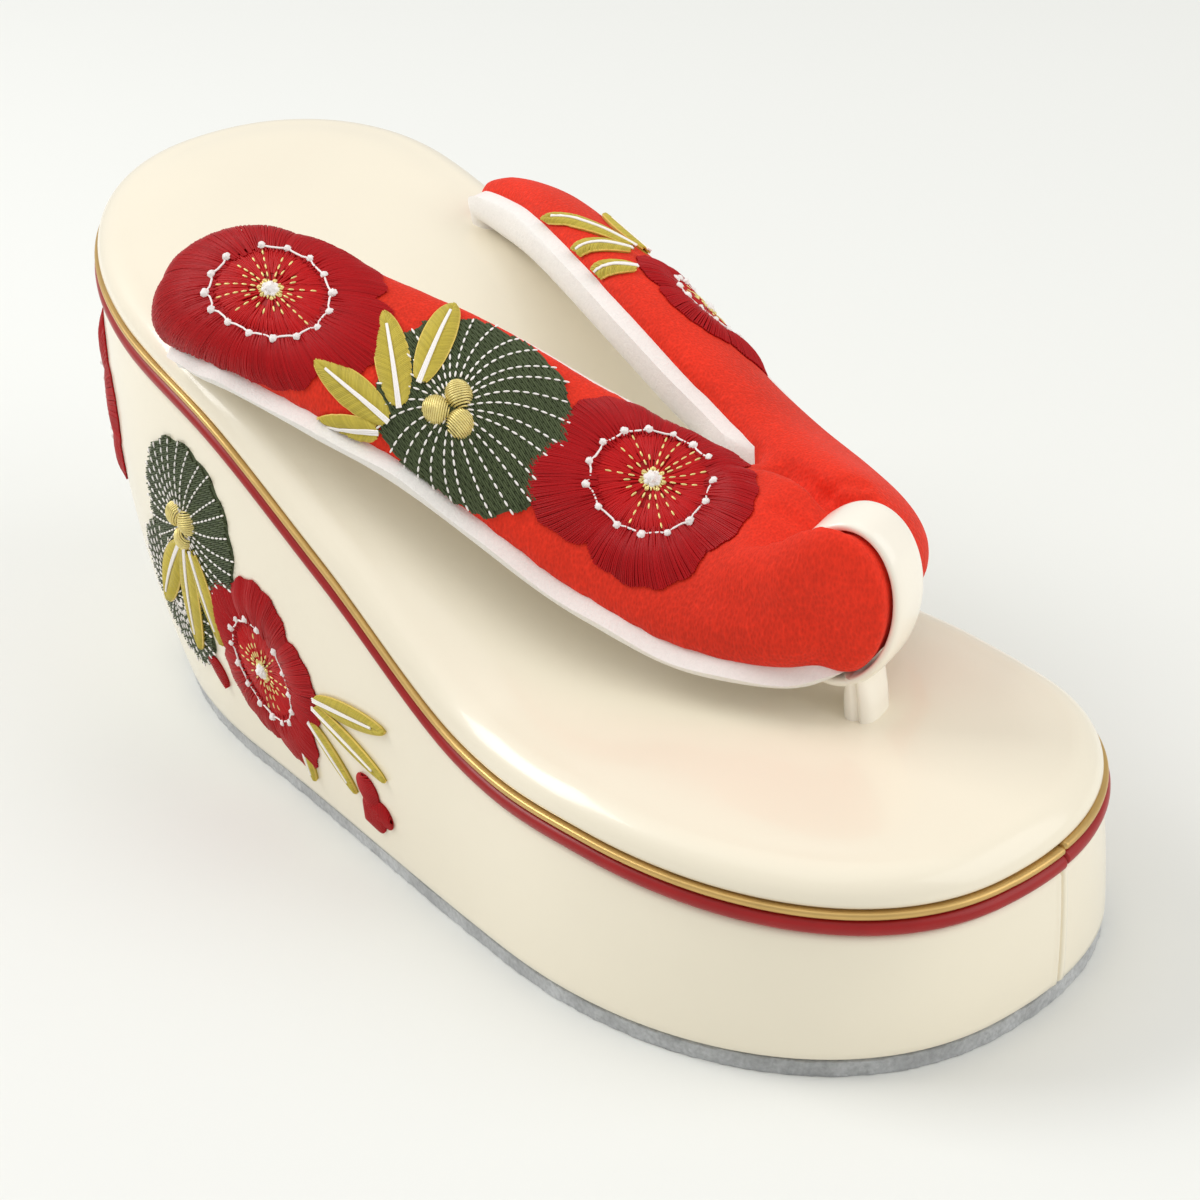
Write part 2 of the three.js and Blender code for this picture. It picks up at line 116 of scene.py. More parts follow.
INNER_ARM = named_rows(
    ARM_COLUMNS,
    (31, 57.5, 1.8, 24, 59.5, 3.2, 3, 0.8),
    (33.5, 48.5, 3, 23, 52, 7.2, 4.4, 2),
    (35.5, 36.5, 6, 22.5, 39.5, 11.3, 5, 3),
    (35.5, 21, 10, 19.5, 24, 16.5, 5, 3),
    (35.5, 4, 13.5, 16.8, 8, 22, 5.5, 3),
    (36, -8, 15, 15.5, -4, 25, 5.5, 3),
    (36.5, -20, 16, 15.8, -16, 27, 5.5, 3),
    (37, -34, 16.5, 17, -28, 28, 6.2, 3),
    (36.5, -50, 15, 15.5, -42, 30, 7, 3),
    (31.5, -64.5, 11, 14, -56, 31, 8.3, 2.2),
    (20.5, -71.5, 10, 12, -63, 30, 7.5, 1.5),
    (9, -74.5, 11, 8.5, -65.5, 29, 7, 1.2),
)
ARMS = {"outer": (OUTER_ARM, 1), "inner": (INNER_ARM, -1)}
# Where each strap bends down at its rear end and goes into the sole, in place of its first row.
NECKS = {
    "outer": named_rows(
        ARM_COLUMNS,
        (-45.5, 42.5, -5, -38, 44.5, -5, 3, 1.5),
        (-47, 44.5, 0.5, -38.5, 47, 3, 4, 1.5),
    ),
    "inner": named_rows(
        ARM_COLUMNS,
        (30.4, 52.3, -5, 23.8, 52.7, -5, 2.6, 1.5),
        (31.6, 53.2, 0.5, 23.2, 54, 1.5, 3.2, 1.5),
    ),
}
PAD_FULLNESS = 0.88
PAD_BLUNT = 0.5
PAD_INNER_DEPTH = 2.4
PAD_TUCK = 0.9

# Creases in the cloth behind the loop: depth, width, and places as x and y. Where they cross, the
# cloth goes no deeper than the limit.
CREASE_LIMIT = 4.6
CREASES = [
    (4.4, 3.0, [(13.2, -50), (13.6, -57), (13.6, -63), (12.4, -69)]),
    (-0.7, 2.6, [(8.8, -52), (8.4, -57), (7.8, -61), (6.8, -66)]),
    (1.2, 1.2, [(13.6, -56.5), (16.5, -59.5), (21.0, -62.5)]),
    (2.8, 1.6, [(13.6, -61), (16.5, -63.5), (19.5, -66)]),
    (0.9, 1.2, [(3.5, -61), (6.0, -68)]),
]

# Cloth that bunches between the arms and behind the loop: x, y, height over the board, radius.
BUNCH_COLUMNS = ("x", "y", "up", "radius")
BUNCHES = [
    named_rows(
        BUNCH_COLUMNS,
        (12.6, -42, 27.5, 0.8), (11.4, -46, 28.0, 3.2), (9.6, -53, 28.8, 4.4),
        (8.2, -60, 29.0, 4.8), (8.4, -66, 27.5, 4.6), (9.6, -70, 25.0, 1.2),
    ),
    named_rows(
        BUNCH_COLUMNS,
        (4.0, -79.5, 24.0, 1.0), (3.0, -75.5, 26.6, 8.5), (0.5, -67.5, 24.0, 8.8),
        (-1.9, -59.8, 20.4, 8.2), (-4.5, -52.2, 17.0, 5.0),
    ),
]


def linear(hex_colour):
    """An sRGB hex colour as linear red, green and blue."""
    parts = [int(hex_colour[i:i + 2], 16) / 255 for i in (0, 2, 4)]
    return tuple(c / 12.92 if c <= 0.04045 else ((c + 0.055) / 1.055) ** 2.4 for c in parts)


def colour_prop(name, description, hex_colour):
    return bpy.props.FloatVectorProperty(
        name=name, description=description, subtype="COLOR", size=3, min=0, max=1,
        default=linear(hex_colour))


def size_prop(name, description, millimetres):
    return bpy.props.FloatProperty(
        name=name, description=description, subtype="DISTANCE", unit="LENGTH",
        default=millimetres * MM, min=0, precision=5)


class ZoriSole(bpy.types.PropertyGroup):
    """Sizes and colours of the sole, its edge trims and its padded top."""
    outsole_thick: size_prop("Outsole thickness", "Thickness of the suede outsole", 3.0)
    piping_radius: size_prop("Piping radius", "Radius of the red cord round the edge", 1.45)
    strip_height: size_prop("Strip height", "Height of the gold strip above the cord", 1.2)
    board_lift: size_prop("Cushion height", "Height of the cushion over the cord", 7.0)
    rim_round: size_prop("Rim radius", "How far the cushion's rounded rim reaches in", 6.0)
    seam_depth: size_prop("Seam depth", "Depth of the butt seam in the wall at the toe", 0.9)
    top_colour: colour_prop("Top leather", "Colour of the cushion's leather", "F2E9D3")
    # Partly the wall leather's own tone, partly painted light: it is made lighter than the top's leather
    # to stand in for the light its upright sides miss.
    wall_colour_with_painted_light: colour_prop("Wall leather", "Colour of the wall's leather", "F5ECD6")
    piping_colour: colour_prop("Piping", "Colour of the red cord", "A01B1B")
    strip_colour: colour_prop("Gold strip", "Colour of the gold strip", "D3AF6C")
    outsole_colour: colour_prop("Outsole", "Colour of the suede outsole", "AEB0B1")


class ZoriStraps(bpy.types.PropertyGroup):
    """Sizes and colours of the padded straps, their lining and the toe post."""
    voxel: size_prop("Cloth mesh", "Edge length of the strap's mesh before it is filled", 1.6)
    slack: size_prop("Filling room", "How far the filling may push the cloth out", 1.2)
    pressure: bpy.props.FloatProperty(
        name="Filling pressure", description="Pressure of the filling", default=4.0, min=0)
    lining_thick: size_prop("Lining thickness", "Thickness of the felt lining", 1.5)
    band_width: size_prop("Loop width", "Width of the leather loop round the straps", 9.2)
    band_thick: size_prop("Loop thickness", "Thickness of the leather loop", 1.7)
    crepe_colour: colour_prop("Crepe", "Colour of the strap's crepe", "E2311A")
    felt_colour: colour_prop("Felt", "Colour of the strap's lining", "F6F2EC")
    # Partly the post leather's own tone, partly painted light: it is made lighter than the top's leather
    # so that the loop looks brightly lit.
    post_colour_with_painted_light: colour_prop("Post leather", "Colour of the toe post", "FAF3E4")


class ZoriEmbroidery(bpy.types.PropertyGroup):
    """Thread sizes and colours of the embroidery on the straps and the wall."""
    thread_width: size_prop("Thread width", "Width of one satin thread", 0.39)
    thread_spacing: size_prop("Thread spacing", "Distance between satin threads", 0.32)
    stitch_length: size_prop("Stitch length", "Length of one running stitch", 1.2)
    stitch_gap: size_prop("Stitch gap", "Gap between running stitches", 0.36)
    knot_size: size_prop("Knot size", "Radius of a white knot on a flower's ring", 0.72)
    petal_colour: colour_prop("Petals", "Colour of the outer petals", "A60D13")
    heart_colour: colour_prop("Flower heart", "Colour of the petals inside the ring", "B81417")
    pine_colour: colour_prop("Pine", "Colour of the pine discs", "4C563A")
    leaf_colour: colour_prop("Bamboo", "Colour of the bamboo leaves", "C0AE48")
    edge_colour: colour_prop("Leaf edge", "Colour of the leaves' edge threads", "E3C565")
    white_colour: colour_prop("White thread", "Colour of the white threads", "F7F2EE")
    gold_colour: colour_prop("Gold thread", "Colour of the metallic gold threads", "EFD68A")


class ZoriStage(bpy.types.PropertyGroup):
    """Camera, floor and light."""
    lens: bpy.props.FloatProperty(
        name="Lens", description="Focal length of the camera", subtype="DISTANCE_CAMERA",
        default=90.0, min=10)
    sky: bpy.props.FloatProperty(
        name="Sky light", description="Strength of the even light", default=0.6, min=0)
    key: bpy.props.FloatProperty(
        name="Key light", description="Power of the large soft light", subtype="POWER",
        default=5.8, min=0)
    floor_colour: colour_prop("Floor", "Colour of the floor", "EBECE8")


# Geometry of the sole


def mix(a, b, t):
    return a + (b - a) * t


def shares(count):
    """Even shares from 0 to 1."""
    return [k / count for k in range(count + 1)]


def circle(count, start=0.0):
    """Angles once round, the first one set off by a share of a step."""
    return [(k + start) / count * 2 * math.pi for k in range(count)]


def ease(t):
    t = min(max(t, 0.0), 1.0)
    return t * t * (3 - 2 * t)


def signed_power(value, power):
    return math.copysign(abs(value) ** power, value)


def bell(distance, width):
    return math.exp(-(distance / width) ** 2)


def numbered(rows):
    """A table's rows with their places, so that a smooth curve can run through them."""
    return [dict(row, at=i) for i, row in enumerate(rows)]


def table_at(rows, place, column, at):
    """Smooth curve through a table's rows: the value of one column at a place along another."""
    last = len(rows) - 1
    k = 0
    while k < last - 1 and at > rows[k + 1][place]:
        k += 1

    def slope(j):
        a, b = rows[max(j - 1, 0)], rows[min(j + 1, last)]
        return (b[column] - a[column]) / (b[place] - a[place])

    span = rows[k + 1][place] - rows[k][place]
    t = min(max((at - rows[k][place]) / span, 0.0), 1.0)
    h, q = t ** 3, t * t
    ends = rows[k][column] * (2 * h - 3 * q + 1) + rows[k + 1][column] * (3 * q - 2 * h)
    return ends + span * (slope(k) * (h - 2 * q + t) + slope(k + 1) * (h - q))


def welt_z(y):
    return table_at(RISE, "y", "z", y)


def evenly(inset):
    return {"toe": inset, "ball": inset, "heel_side": inset, "heel": inset}


def edge_point(f, half, inset):
    """A point of one half of the plan outline: f is 0 at the toe tip and 1 at the heel."""
    ins = inset if isinstance(inset, dict) else evenly(inset)
    toe = -LENGTH / 2 + ins["toe"]
    heel = LENGTH / 2 - ins["heel"]
    y = mix(toe, heel, (1 - math.cos(math.pi * f)) / 2)
    ball = half["ball"] - ins["ball"]
    wide = half["heel"] - ins["heel_side"]
    if y < half["ball_y"]:
        u = min((half["ball_y"] - y) / (half["ball_y"] - toe), 1)
        w = ball * (1 - u ** TOE_ROUND) ** (1 / TOE_ROUND)
    elif y > half["heel_y"]:
        u = min((y - half["heel_y"]) / (heel - half["heel_y"]), 1)
        w = wide * (1 - u ** HEEL_ROUND) ** (1 / HEEL_ROUND)
    else:
        t = (y - half["ball_y"]) / (half["heel_y"] - half["ball_y"])
        w = mix(ball, wide, ease(t)) - half["waist"] * 16 * (t * (1 - t)) ** 2
    return Vector((half["sign"] * w + OUTLINE_SHIFT, y))


def wall_inset(t):
    return {k: mix(WALL_FOOT[k], WALL_INSET, t) - WALL_SWELL[k] * 4 * t * (1 - t) for k in WALL_FOOT}


def wall_foot_z(sole):
    return sole.outsole_thick / MM + SEAM_GAP


def wall_top_z(sole, y):
    return welt_z(y) - 2 * sole.piping_radius / MM - SEAM_GAP


def wall_point(sole, f, half, t):
    """A point of the wall at a place along the outline and a share of its height."""
    p = edge_point(f, half, wall_inset(t))
    foot = wall_foot_z(sole)
    return Vector((p.x, p.y, mix(foot, wall_top_z(sole, p.y), t)))


def seam_station():
    """The place along the inner half where the wall's covering is butted together."""
    f, run = 0.0, 0.0
    step = 0.0005
    last = edge_point(0, INNER_HALF, WALL_INSET)
    while run < TOE_SEAM_FROM_TIP:
        f += step
        p = edge_point(f, INNER_HALF, WALL_INSET)
        run += (p - last).length
        last = p
    return f


SEAM_F = seam_station()


def stations(count, fine_half=2.4, fine_step=0.12, margin=1.05):
    """Places along the outline, dense round the toe seam."""
    share_per_mm = SEAM_F / TOE_SEAM_FROM_TIP
    steps = int(fine_half / fine_step)
    near = [SEAM_F + share_per_mm * fine_step * k for k in range(-steps, steps + 1)]
    clear = share_per_mm * fine_half * margin
    wide = [f for f in shares(count) if abs(f - SEAM_F) > clear]
    return sorted(wide + near)


def seam_distance(f):
    """Signed distance from the toe seam along the inner half's edge."""
    return (f - SEAM_F) * TOE_SEAM_FROM_TIP / SEAM_F


def skin(rings, closed=False):
    """Vertices and quads over like-sized closed rings; ends are capped unless the run closes."""
    count = len(rings[0])
    verts = [tuple(p) for ring in rings for p in ring]
    faces = []
    runs = len(rings) if closed else len(rings) - 1
    for i in range(runs):
        a, b = i * count, ((i + 1) % len(rings)) * count
        for j in range(count):
            k = (j + 1) % count
            faces.append((a + j, b + j, b + k, a + k))
    if not closed:
        end = (len(rings) - 1) * count
        for j in range(count // 2 - 1):
            k = count - 1 - j
            faces.append((j, j + 1, k - 1, k))
            faces.append((end + k, end + k - 1, end + j + 1, end + j))
    return verts, faces


def joined(skins):
    """Vertices and faces of several skins as one."""
    verts, faces = [], []
    for v, f in skins:
        faces += [tuple(i + len(verts) for i in face) for face in f]
        verts += v
    return verts, faces


def make_mesh(name, verts, faces, merge=0.002):
    """A mesh from millimetre points, its doubles merged and its faces turned outwards."""
    mesh = bpy.data.meshes.new(name)
    mesh.from_pydata([(x * MM, y * MM, z * MM) for x, y, z in verts], [], faces)
    bm = bmesh.new()
    bm.from_mesh(mesh)
    bmesh.ops.remove_doubles(bm, verts=bm.verts, dist=merge * MM)
    bmesh.ops.dissolve_degenerate(bm, edges=bm.edges, dist=merge * MM)
    loose = [edge for edge in bm.edges if not edge.link_faces]
    bmesh.ops.delete(bm, geom=loose, context="EDGES")
    bmesh.ops.recalc_face_normals(bm, faces=bm.faces)
    bm.to_mesh(mesh)
    bm.free()
    mesh.update()
    return mesh


def add_piece(name, mesh, material, replaces=(), sharp_deg=40):
    """Links a finished piece, shades it, and lets it ride on the sandal's one body."""
    piece = bpy.data.objects.new(name, mesh)
    bpy.context.scene.collection.objects.link(piece)
    mesh.materials.clear()
    mesh.materials.append(material)
    mesh.shade_smooth()
    mesh.set_sharp_from_angle(angle=math.radians(sharp_deg))
    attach(piece, BODY)
    if replaces:
        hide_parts(*replaces)
    return piece


def sole_rings(profile, places):
    """Rings across the sole: profile(f, half) gives one side from its underside to the top."""
    return [[*profile(f, INNER_HALF), *reversed(profile(f, OUTER_HALF))] for f in places]


def ground_normal(f, half, inset):
    """Outward direction in plan at a place along the outline."""
    step = 0.001
    run = edge_point(min(f + step, 1), half, inset) - edge_point(max(f - step, 0), half, inset)
    out = Vector((run.y, -run.x)) * half["sign"]
    return out.normalized()


# Geometry of the straps


def board_z(sole, y):
    return welt_z(y) + sole.board_lift / MM


def unit(v):
    return v / np.linalg.norm(v)


class Arm:
    """One strap: its sections from rear to front, each with its own directions and fullness."""

    def __init__(self, sole, rows, side, steps):
        rows = numbered(rows)
        self.frames = []
        for t in shares(steps):
            now = {column: table_at(rows, "at", column, t * (len(rows) - 1)) for column in ARM_COLUMNS}
            low, high = [
                np.array((now[edge + "_x"] + OUTLINE_SHIFT, now[edge + "_y"],
                          board_z(sole, now[edge + "_y"]) + now[edge + "_up"]))
                for edge in ("low", "high")]
            self.frames.append({
                "centre": (low + high) / 2, "half": np.linalg.norm(high - low) / 2,
                "across": unit(high - low), "crown": now["crown"], "belly": now["belly"]})
        for i, section in enumerate(self.frames):
            run = unit(self.frames[min(i + 1, steps)]["centre"] - self.frames[max(i - 1, 0)]["centre"])
            section["out"] = unit(np.cross(run, section["across"])) * side

    def point(self, section, angle, grow=0.0):
        """A point of the padded section at an angle from its inner edge, grown outward."""
        def flat(a):
            c, v = math.cos(a), math.sin(a)
            inner_under = v < 0 < c
            power = PAD_BLUNT if inner_under else PAD_FULLNESS
            across = signed_power(c, power) * (PAD_TUCK if inner_under else 1)
            depth = section["crown"]
            if v < 0:
                depth = section["belly"] * mix(1, PAD_INNER_DEPTH, (across + 1) / 2)
            return np.array((section["half"] * across, depth * signed_power(v, power)))
        step = 0.02
        p = flat(angle)
        if grow:
            slope = flat(angle + step) - flat(angle - step)
            p = p + unit(np.array((slope[1], -slope[0]))) * grow
        return section["centre"] + section["across"] * p[0] + section["out"] * p[1]

    def rings(self, sides, grow):
        """Closed rings round the pad's sections, grown outward."""
        return [[self.point(s, a, grow) for a in circle(sides, 0.5)] for s in self.frames]


class Patch:
    """A surface laid out flat: u runs along it, v across it, both in millimetres."""

    # Keeps a place inside the grid's last cell.
    LAST_CELL = 1.001

    def __init__(self, grid, middle, gauge, lift, snap=None):
        """Distances across start at the middle column; distances along are taken on the gauge column."""
        self.grid = np.array(grid)
        line = self.grid[:, gauge]
        steps = np.linalg.norm(np.diff(line, axis=0), axis=1)
        self.u = np.concatenate(([0.0], np.cumsum(steps)))
        widths = np.linalg.norm(np.diff(self.grid, axis=1), axis=2)
        across = np.concatenate((np.zeros((len(self.grid), 1)), np.cumsum(widths, axis=1)), axis=1)
        self.v = across - across[:, middle:middle + 1]
        self.snap = snap
        along = np.gradient(self.grid, axis=0)
        over = np.gradient(self.grid, axis=1)
        normals = np.cross(along, over) * lift
        self.normals = normals / (np.linalg.norm(normals, axis=2, keepdims=True) + TINY)

    def holds(self, u, v):
        """Whether (u, v) lies on the surface."""
        if not self.u[0] <= u <= self.u[-1]:
            return False
        i = int(np.searchsorted(self.u, u)) - 1
        row = self.v[min(max(i, 0), len(self.v) - 1)]
        return bool(row[0] <= v <= row[-1])

    def at(self, u, v, height):
        """The point that lies at (u, v) on the surface, raised by a height."""
        i = min(max(np.interp(u, self.u, np.arange(len(self.u))), 0), len(self.u) - self.LAST_CELL)
        i0 = int(i)
        t = i - i0
        row = mix(self.v[i0], self.v[i0 + 1], t)
        j = min(max(np.interp(v, row, np.arange(len(row))), 0), len(row) - self.LAST_CELL)
        j0 = int(j)
        s = j - j0

        def sample(field):
            a = mix(field[i0, j0], field[i0, j0 + 1], s)
            b = mix(field[i0 + 1, j0], field[i0 + 1, j0 + 1], s)
            return mix(a, b, t)

        point, normal = sample(self.grid), unit(sample(self.normals))
        if self.snap:
            point = np.array(self.snap.find_nearest(Vector(point) * MM)[0]) / MM
        return point + normal * height


# Materials


def add_node(tree, kind, inputs=None, **settings):
    """Adds a node, sets its properties, then sets its inputs or links them to sockets."""
    node = tree.nodes.new(kind)
    for key, value in settings.items():
        setattr(node, key, value)
    for key, value in (inputs or {}).items():
        if isinstance(value, bpy.types.NodeSocket):
            tree.links.new(value, node.inputs[key])
        else:
            node.inputs[key].default_value = value
    return node


def start_material(name):
    """A new material: its empty tree, and the place on the piece."""
    material = bpy.data.materials.new(name)
    material.use_nodes = True
    tree = material.node_tree
    tree.nodes.clear()
    place = add_node(tree, "ShaderNodeTexCoord").outputs["Object"]
    return material, tree, place


def end_material(tree, sockets):
    """Ends a material's tree: its shader, with constant or linked sockets, and the output."""
    shader = add_node(tree, "ShaderNodeBsdfPrincipled", sockets)
    add_node(tree, "ShaderNodeOutputMaterial", {"Surface": shader.outputs["BSDF"]})


# A mix node's colour sockets, by number because its other sockets share their names.
MIX_DARK = 6
MIX_LIGHT = 7
MIX_OUT = 2


def tinted(colour, share):
    """A linear colour made darker or lighter, with its alpha."""
    return (*(min(c * share, 1) for c in colour), 1)


def per_mm(size):
    """Texture scale that gives a pattern of a size in millimetres on metre coordinates."""
    return 1 / (size * MM)


def pearl_leather(name, colour, rough):
    """Enamelled leather with a pearl coat: smooth and milky, soft wide highlights, faint grain."""
    material, tree, place = start_material(name)
    cloud = add_node(tree, "ShaderNodeTexNoise", {"Vector": place, "Scale": per_mm(34), "Detail": 2})
    grain = add_node(tree, "ShaderNodeTexNoise", {"Vector": place, "Scale": per_mm(0.9), "Detail": 4})
    tint = add_node(tree, "ShaderNodeMix", {
        "Factor": cloud.outputs["Fac"],
        MIX_DARK: tinted(colour, 0.955), MIX_LIGHT: tinted(colour, 1.03)}, data_type="RGBA")
    bump = add_node(tree, "ShaderNodeBump", {
        "Height": grain.outputs["Fac"], "Strength": 0.12, "Distance": 0.12 * MM})
    end_material(tree, {
        "Base Color": tint.outputs[MIX_OUT], "Normal": bump.outputs["Normal"],
        "Roughness": rough, "IOR": 1.5, "Coat Weight": 0.6, "Coat Roughness": 0.13})
    return material


def red_cord(colour):
    """Extruded vinyl cord: dense colour with a plastic gloss and slight waves along it."""
    material, tree, place = start_material("vinyl_cord_red")
    wave = add_node(tree, "ShaderNodeTexNoise", {"Vector": place, "Scale": per_mm(5), "Detail": 2})
    tint = add_node(tree, "ShaderNodeMix", {
        "Factor": wave.outputs["Fac"],
        MIX_DARK: tinted(colour, 0.82), MIX_LIGHT: tinted(colour, 1.12)}, data_type="RGBA")
    bump = add_node(tree, "ShaderNodeBump", {
        "Height": wave.outputs["Fac"], "Strength": 0.2, "Distance": 0.2 * MM})
    end_material(tree, {
        "Base Color": tint.outputs[MIX_OUT], "Normal": bump.outputs["Normal"],
        "Roughness": 0.34, "IOR": 1.5, "Specular IOR Level": 0.35})
    return material


def gold_foil(colour):
    """Gold foil on a leather strip: metal lustre broken by a fine crackle."""
    material, tree, place = start_material("gold_foil_strip")
    crackle = add_node(tree, "ShaderNodeTexNoise", {"Vector": place, "Scale": per_mm(0.8), "Detail": 5})
    worn = add_node(tree, "ShaderNodeTexNoise", {"Vector": place, "Scale": per_mm(7), "Detail": 2})
    tint = add_node(tree, "ShaderNodeMix", {
        "Factor": worn.outputs["Fac"],
        MIX_DARK: tinted(colour, 0.8), MIX_LIGHT: tinted(colour, 1.15)}, data_type="RGBA")
    rough = add_node(tree, "ShaderNodeMapRange", {
        "Value": crackle.outputs["Fac"], "To Min": 0.24, "To Max": 0.46})
    bump = add_node(tree, "ShaderNodeBump", {
        "Height": crackle.outputs["Fac"], "Strength": 0.25, "Distance": 0.1 * MM})
    end_material(tree, {
        "Base Color": tint.outputs[MIX_OUT], "Normal": bump.outputs["Normal"],
        "Roughness": rough.outputs["Result"], "Metallic": 0.7})
    return material


def suede(colour):
    """Split suede: a dull nap, lighter where fibres stand up."""
    material, tree, place = start_material("split_suede_grey")
    nap = add_node(tree, "ShaderNodeTexNoise", {"Vector": place, "Scale": per_mm(0.8), "Detail": 6})
    patch = add_node(tree, "ShaderNodeTexNoise", {"Vector": place, "Scale": per_mm(9), "Detail": 3})
    blend = add_node(tree, "ShaderNodeMath", {
        0: nap.outputs["Fac"], 1: patch.outputs["Fac"]}, operation="MULTIPLY")
    spread = add_node(tree, "ShaderNodeMapRange", {
        "Value": blend.outputs["Value"], "From Min": 0.12, "From Max": 0.42})
    tint = add_node(tree, "ShaderNodeMix", {
        "Factor": spread.outputs["Result"],
        MIX_DARK: tinted(colour, 0.72), MIX_LIGHT: tinted(colour, 1.25)}, data_type="RGBA")
    bump = add_node(tree, "ShaderNodeBump", {
        "Height": nap.outputs["Fac"], "Strength": 0.8, "Distance": 0.3 * MM})
    end_material(tree, {
        "Base Color": tint.outputs[MIX_OUT], "Normal": bump.outputs["Normal"],
        "Roughness": 0.95, "Sheen Weight": 0.3, "Sheen Roughness": 0.6})
    return material


def crepe(colour):
    """Silk crepe: a pebbled weave of hard-twisted threads that breaks the light into fine grains; part of
    that light and shade is painted into the colour.
    """
    material, tree, place = start_material("silk_crepe_red")
    # The real weave is about 0.25 mm; it is drawn at 0.48 mm so that it shows. Its ripples run upward.
    drawn_out = add_node(tree, "ShaderNodeMapping", {"Vector": place, "Scale": (1.0, 1.0, 0.45)})
    along = drawn_out.outputs["Vector"]
    pebble = add_node(tree, "ShaderNodeTexVoronoi", {
        "Vector": along, "Scale": per_mm(0.48), "Randomness": 0.85})
    twist = add_node(tree, "ShaderNodeTexNoise", {"Vector": along, "Scale": per_mm(0.7), "Detail": 3})
    weave = add_node(tree, "ShaderNodeMath", {
        0: pebble.outputs["Distance"], 1: twist.outputs["Fac"]}, operation="MULTIPLY")
    cloud = add_node(tree, "ShaderNodeTexNoise", {"Vector": place, "Scale": per_mm(26), "Detail": 2})
    # Colour follows the weave's relief: darker in the low spots between pebbles (painted shade) and
    # lighter on their tops (painted highlight); the large cloud adds tone that differs at random.
    tone = add_node(tree, "ShaderNodeMath", {
        0: weave.outputs["Value"], 1: cloud.outputs["Fac"]}, operation="ADD")
    spread = add_node(tree, "ShaderNodeMapRange", {
        "Value": tone.outputs["Value"], "From Min": 0.35, "From Max": 1.1})
    tint = add_node(tree, "ShaderNodeMix", {
        "Factor": spread.outputs["Result"],
        MIX_DARK: tinted(colour, 0.72), MIX_LIGHT: tinted(colour, 1.2)}, data_type="RGBA")
    bump = add_node(tree, "ShaderNodeBump", {
        "Height": weave.outputs["Value"], "Strength": 0.85, "Distance": 0.26 * MM})
    end_material(tree, {
        "Base Color": tint.outputs[MIX_OUT], "Normal": bump.outputs["Normal"],
        "Roughness": 0.72, "IOR": 1.45, "Specular IOR Level": 0.25,
        "Sheen Weight": 0.08, "Sheen Roughness": 0.45, "Sheen Tint": (1.0, 0.5, 0.4, 1.0)})
    return material


def felt(colour):
    """Pressed felt: matt white with a tangle of short fibres."""
    material, tree, place = start_material("pressed_felt_white")
    fibre = add_node(tree, "ShaderNodeTexNoise", {
        "Vector": place, "Scale": per_mm(0.7), "Detail": 6, "Distortion": 1.2})
    tint = add_node(tree, "ShaderNodeMix", {
        "Factor": fibre.outputs["Fac"],
        MIX_DARK: tinted(colour, 0.88), MIX_LIGHT: tinted(colour, 1.04)}, data_type="RGBA")
    bump = add_node(tree, "ShaderNodeBump", {
        "Height": fibre.outputs["Fac"], "Strength": 0.5, "Distance": 0.25 * MM})
    end_material(tree, {
        "Base Color": tint.outputs[MIX_OUT], "Normal": bump.outputs["Normal"],
        "Roughness": 0.95, "Sheen Weight": 0.3, "Sheen Roughness": 0.7})
    return material


def rayon_thread(name, colour, contrast):
    """Twisted rayon embroidery thread: silky, each strand a little lighter or darker than the next."""
    material, tree, place = start_material(name)
    strand = add_node(tree, "ShaderNodeAttribute", attribute_name="tone")
    cloud = add_node(tree, "ShaderNodeTexNoise", {"Vector": place, "Scale": per_mm(9), "Detail": 2})
    blend = add_node(tree, "ShaderNodeMath", {
        0: strand.outputs["Fac"], 1: cloud.outputs["Fac"]}, operation="ADD")
    spread = add_node(tree, "ShaderNodeMapRange", {
        "Value": blend.outputs["Value"], "From Min": 0.3, "From Max": 1.3})
    tint = add_node(tree, "ShaderNodeMix", {
        "Factor": spread.outputs["Result"],
        MIX_DARK: tinted(colour, 1 - contrast), MIX_LIGHT: tinted(colour, 1 + contrast)}, data_type="RGBA")
    end_material(tree, {
        "Base Color": tint.outputs[MIX_OUT],
        "Roughness": 0.42, "IOR": 1.5, "Specular IOR Level": 0.18})
    return material


def gold_thread(name, colour):
    """Metallic wrapped thread: foil round a yellow core, so it glints but keeps its colour."""
    material, tree, place = start_material(name)
    glint = add_node(tree, "ShaderNodeTexNoise", {"Vector": place, "Scale": per_mm(0.9), "Detail": 2})
    tint = add_node(tree, "ShaderNodeMix", {
        "Factor": glint.outputs["Fac"],
        MIX_DARK: tinted(colour, 0.72), MIX_LIGHT: tinted(colour, 1.3)}, data_type="RGBA")
    end_material(tree, {"Base Color": tint.outputs[MIX_OUT], "Roughness": 0.36, "Metallic": 0.4})
    return material


def pale_floor(colour):
    """Matt painted board: an even, dull white with a hardly seen cloud."""
    material, tree, place = start_material("pale_floor")
    cloud = add_node(tree, "ShaderNodeTexNoise", {"Vector": place, "Scale": per_mm(300), "Detail": 1})
    tint = add_node(tree, "ShaderNodeMix", {
        "Factor": cloud.outputs["Fac"],
        MIX_DARK: tinted(colour, 0.985), MIX_LIGHT: tinted(colour, 1.0)}, data_type="RGBA")
    end_material(tree, {
        "Base Color": tint.outputs[MIX_OUT], "Roughness": 0.9, "Specular IOR Level": 0.2})
    return material


# Pieces of the sole


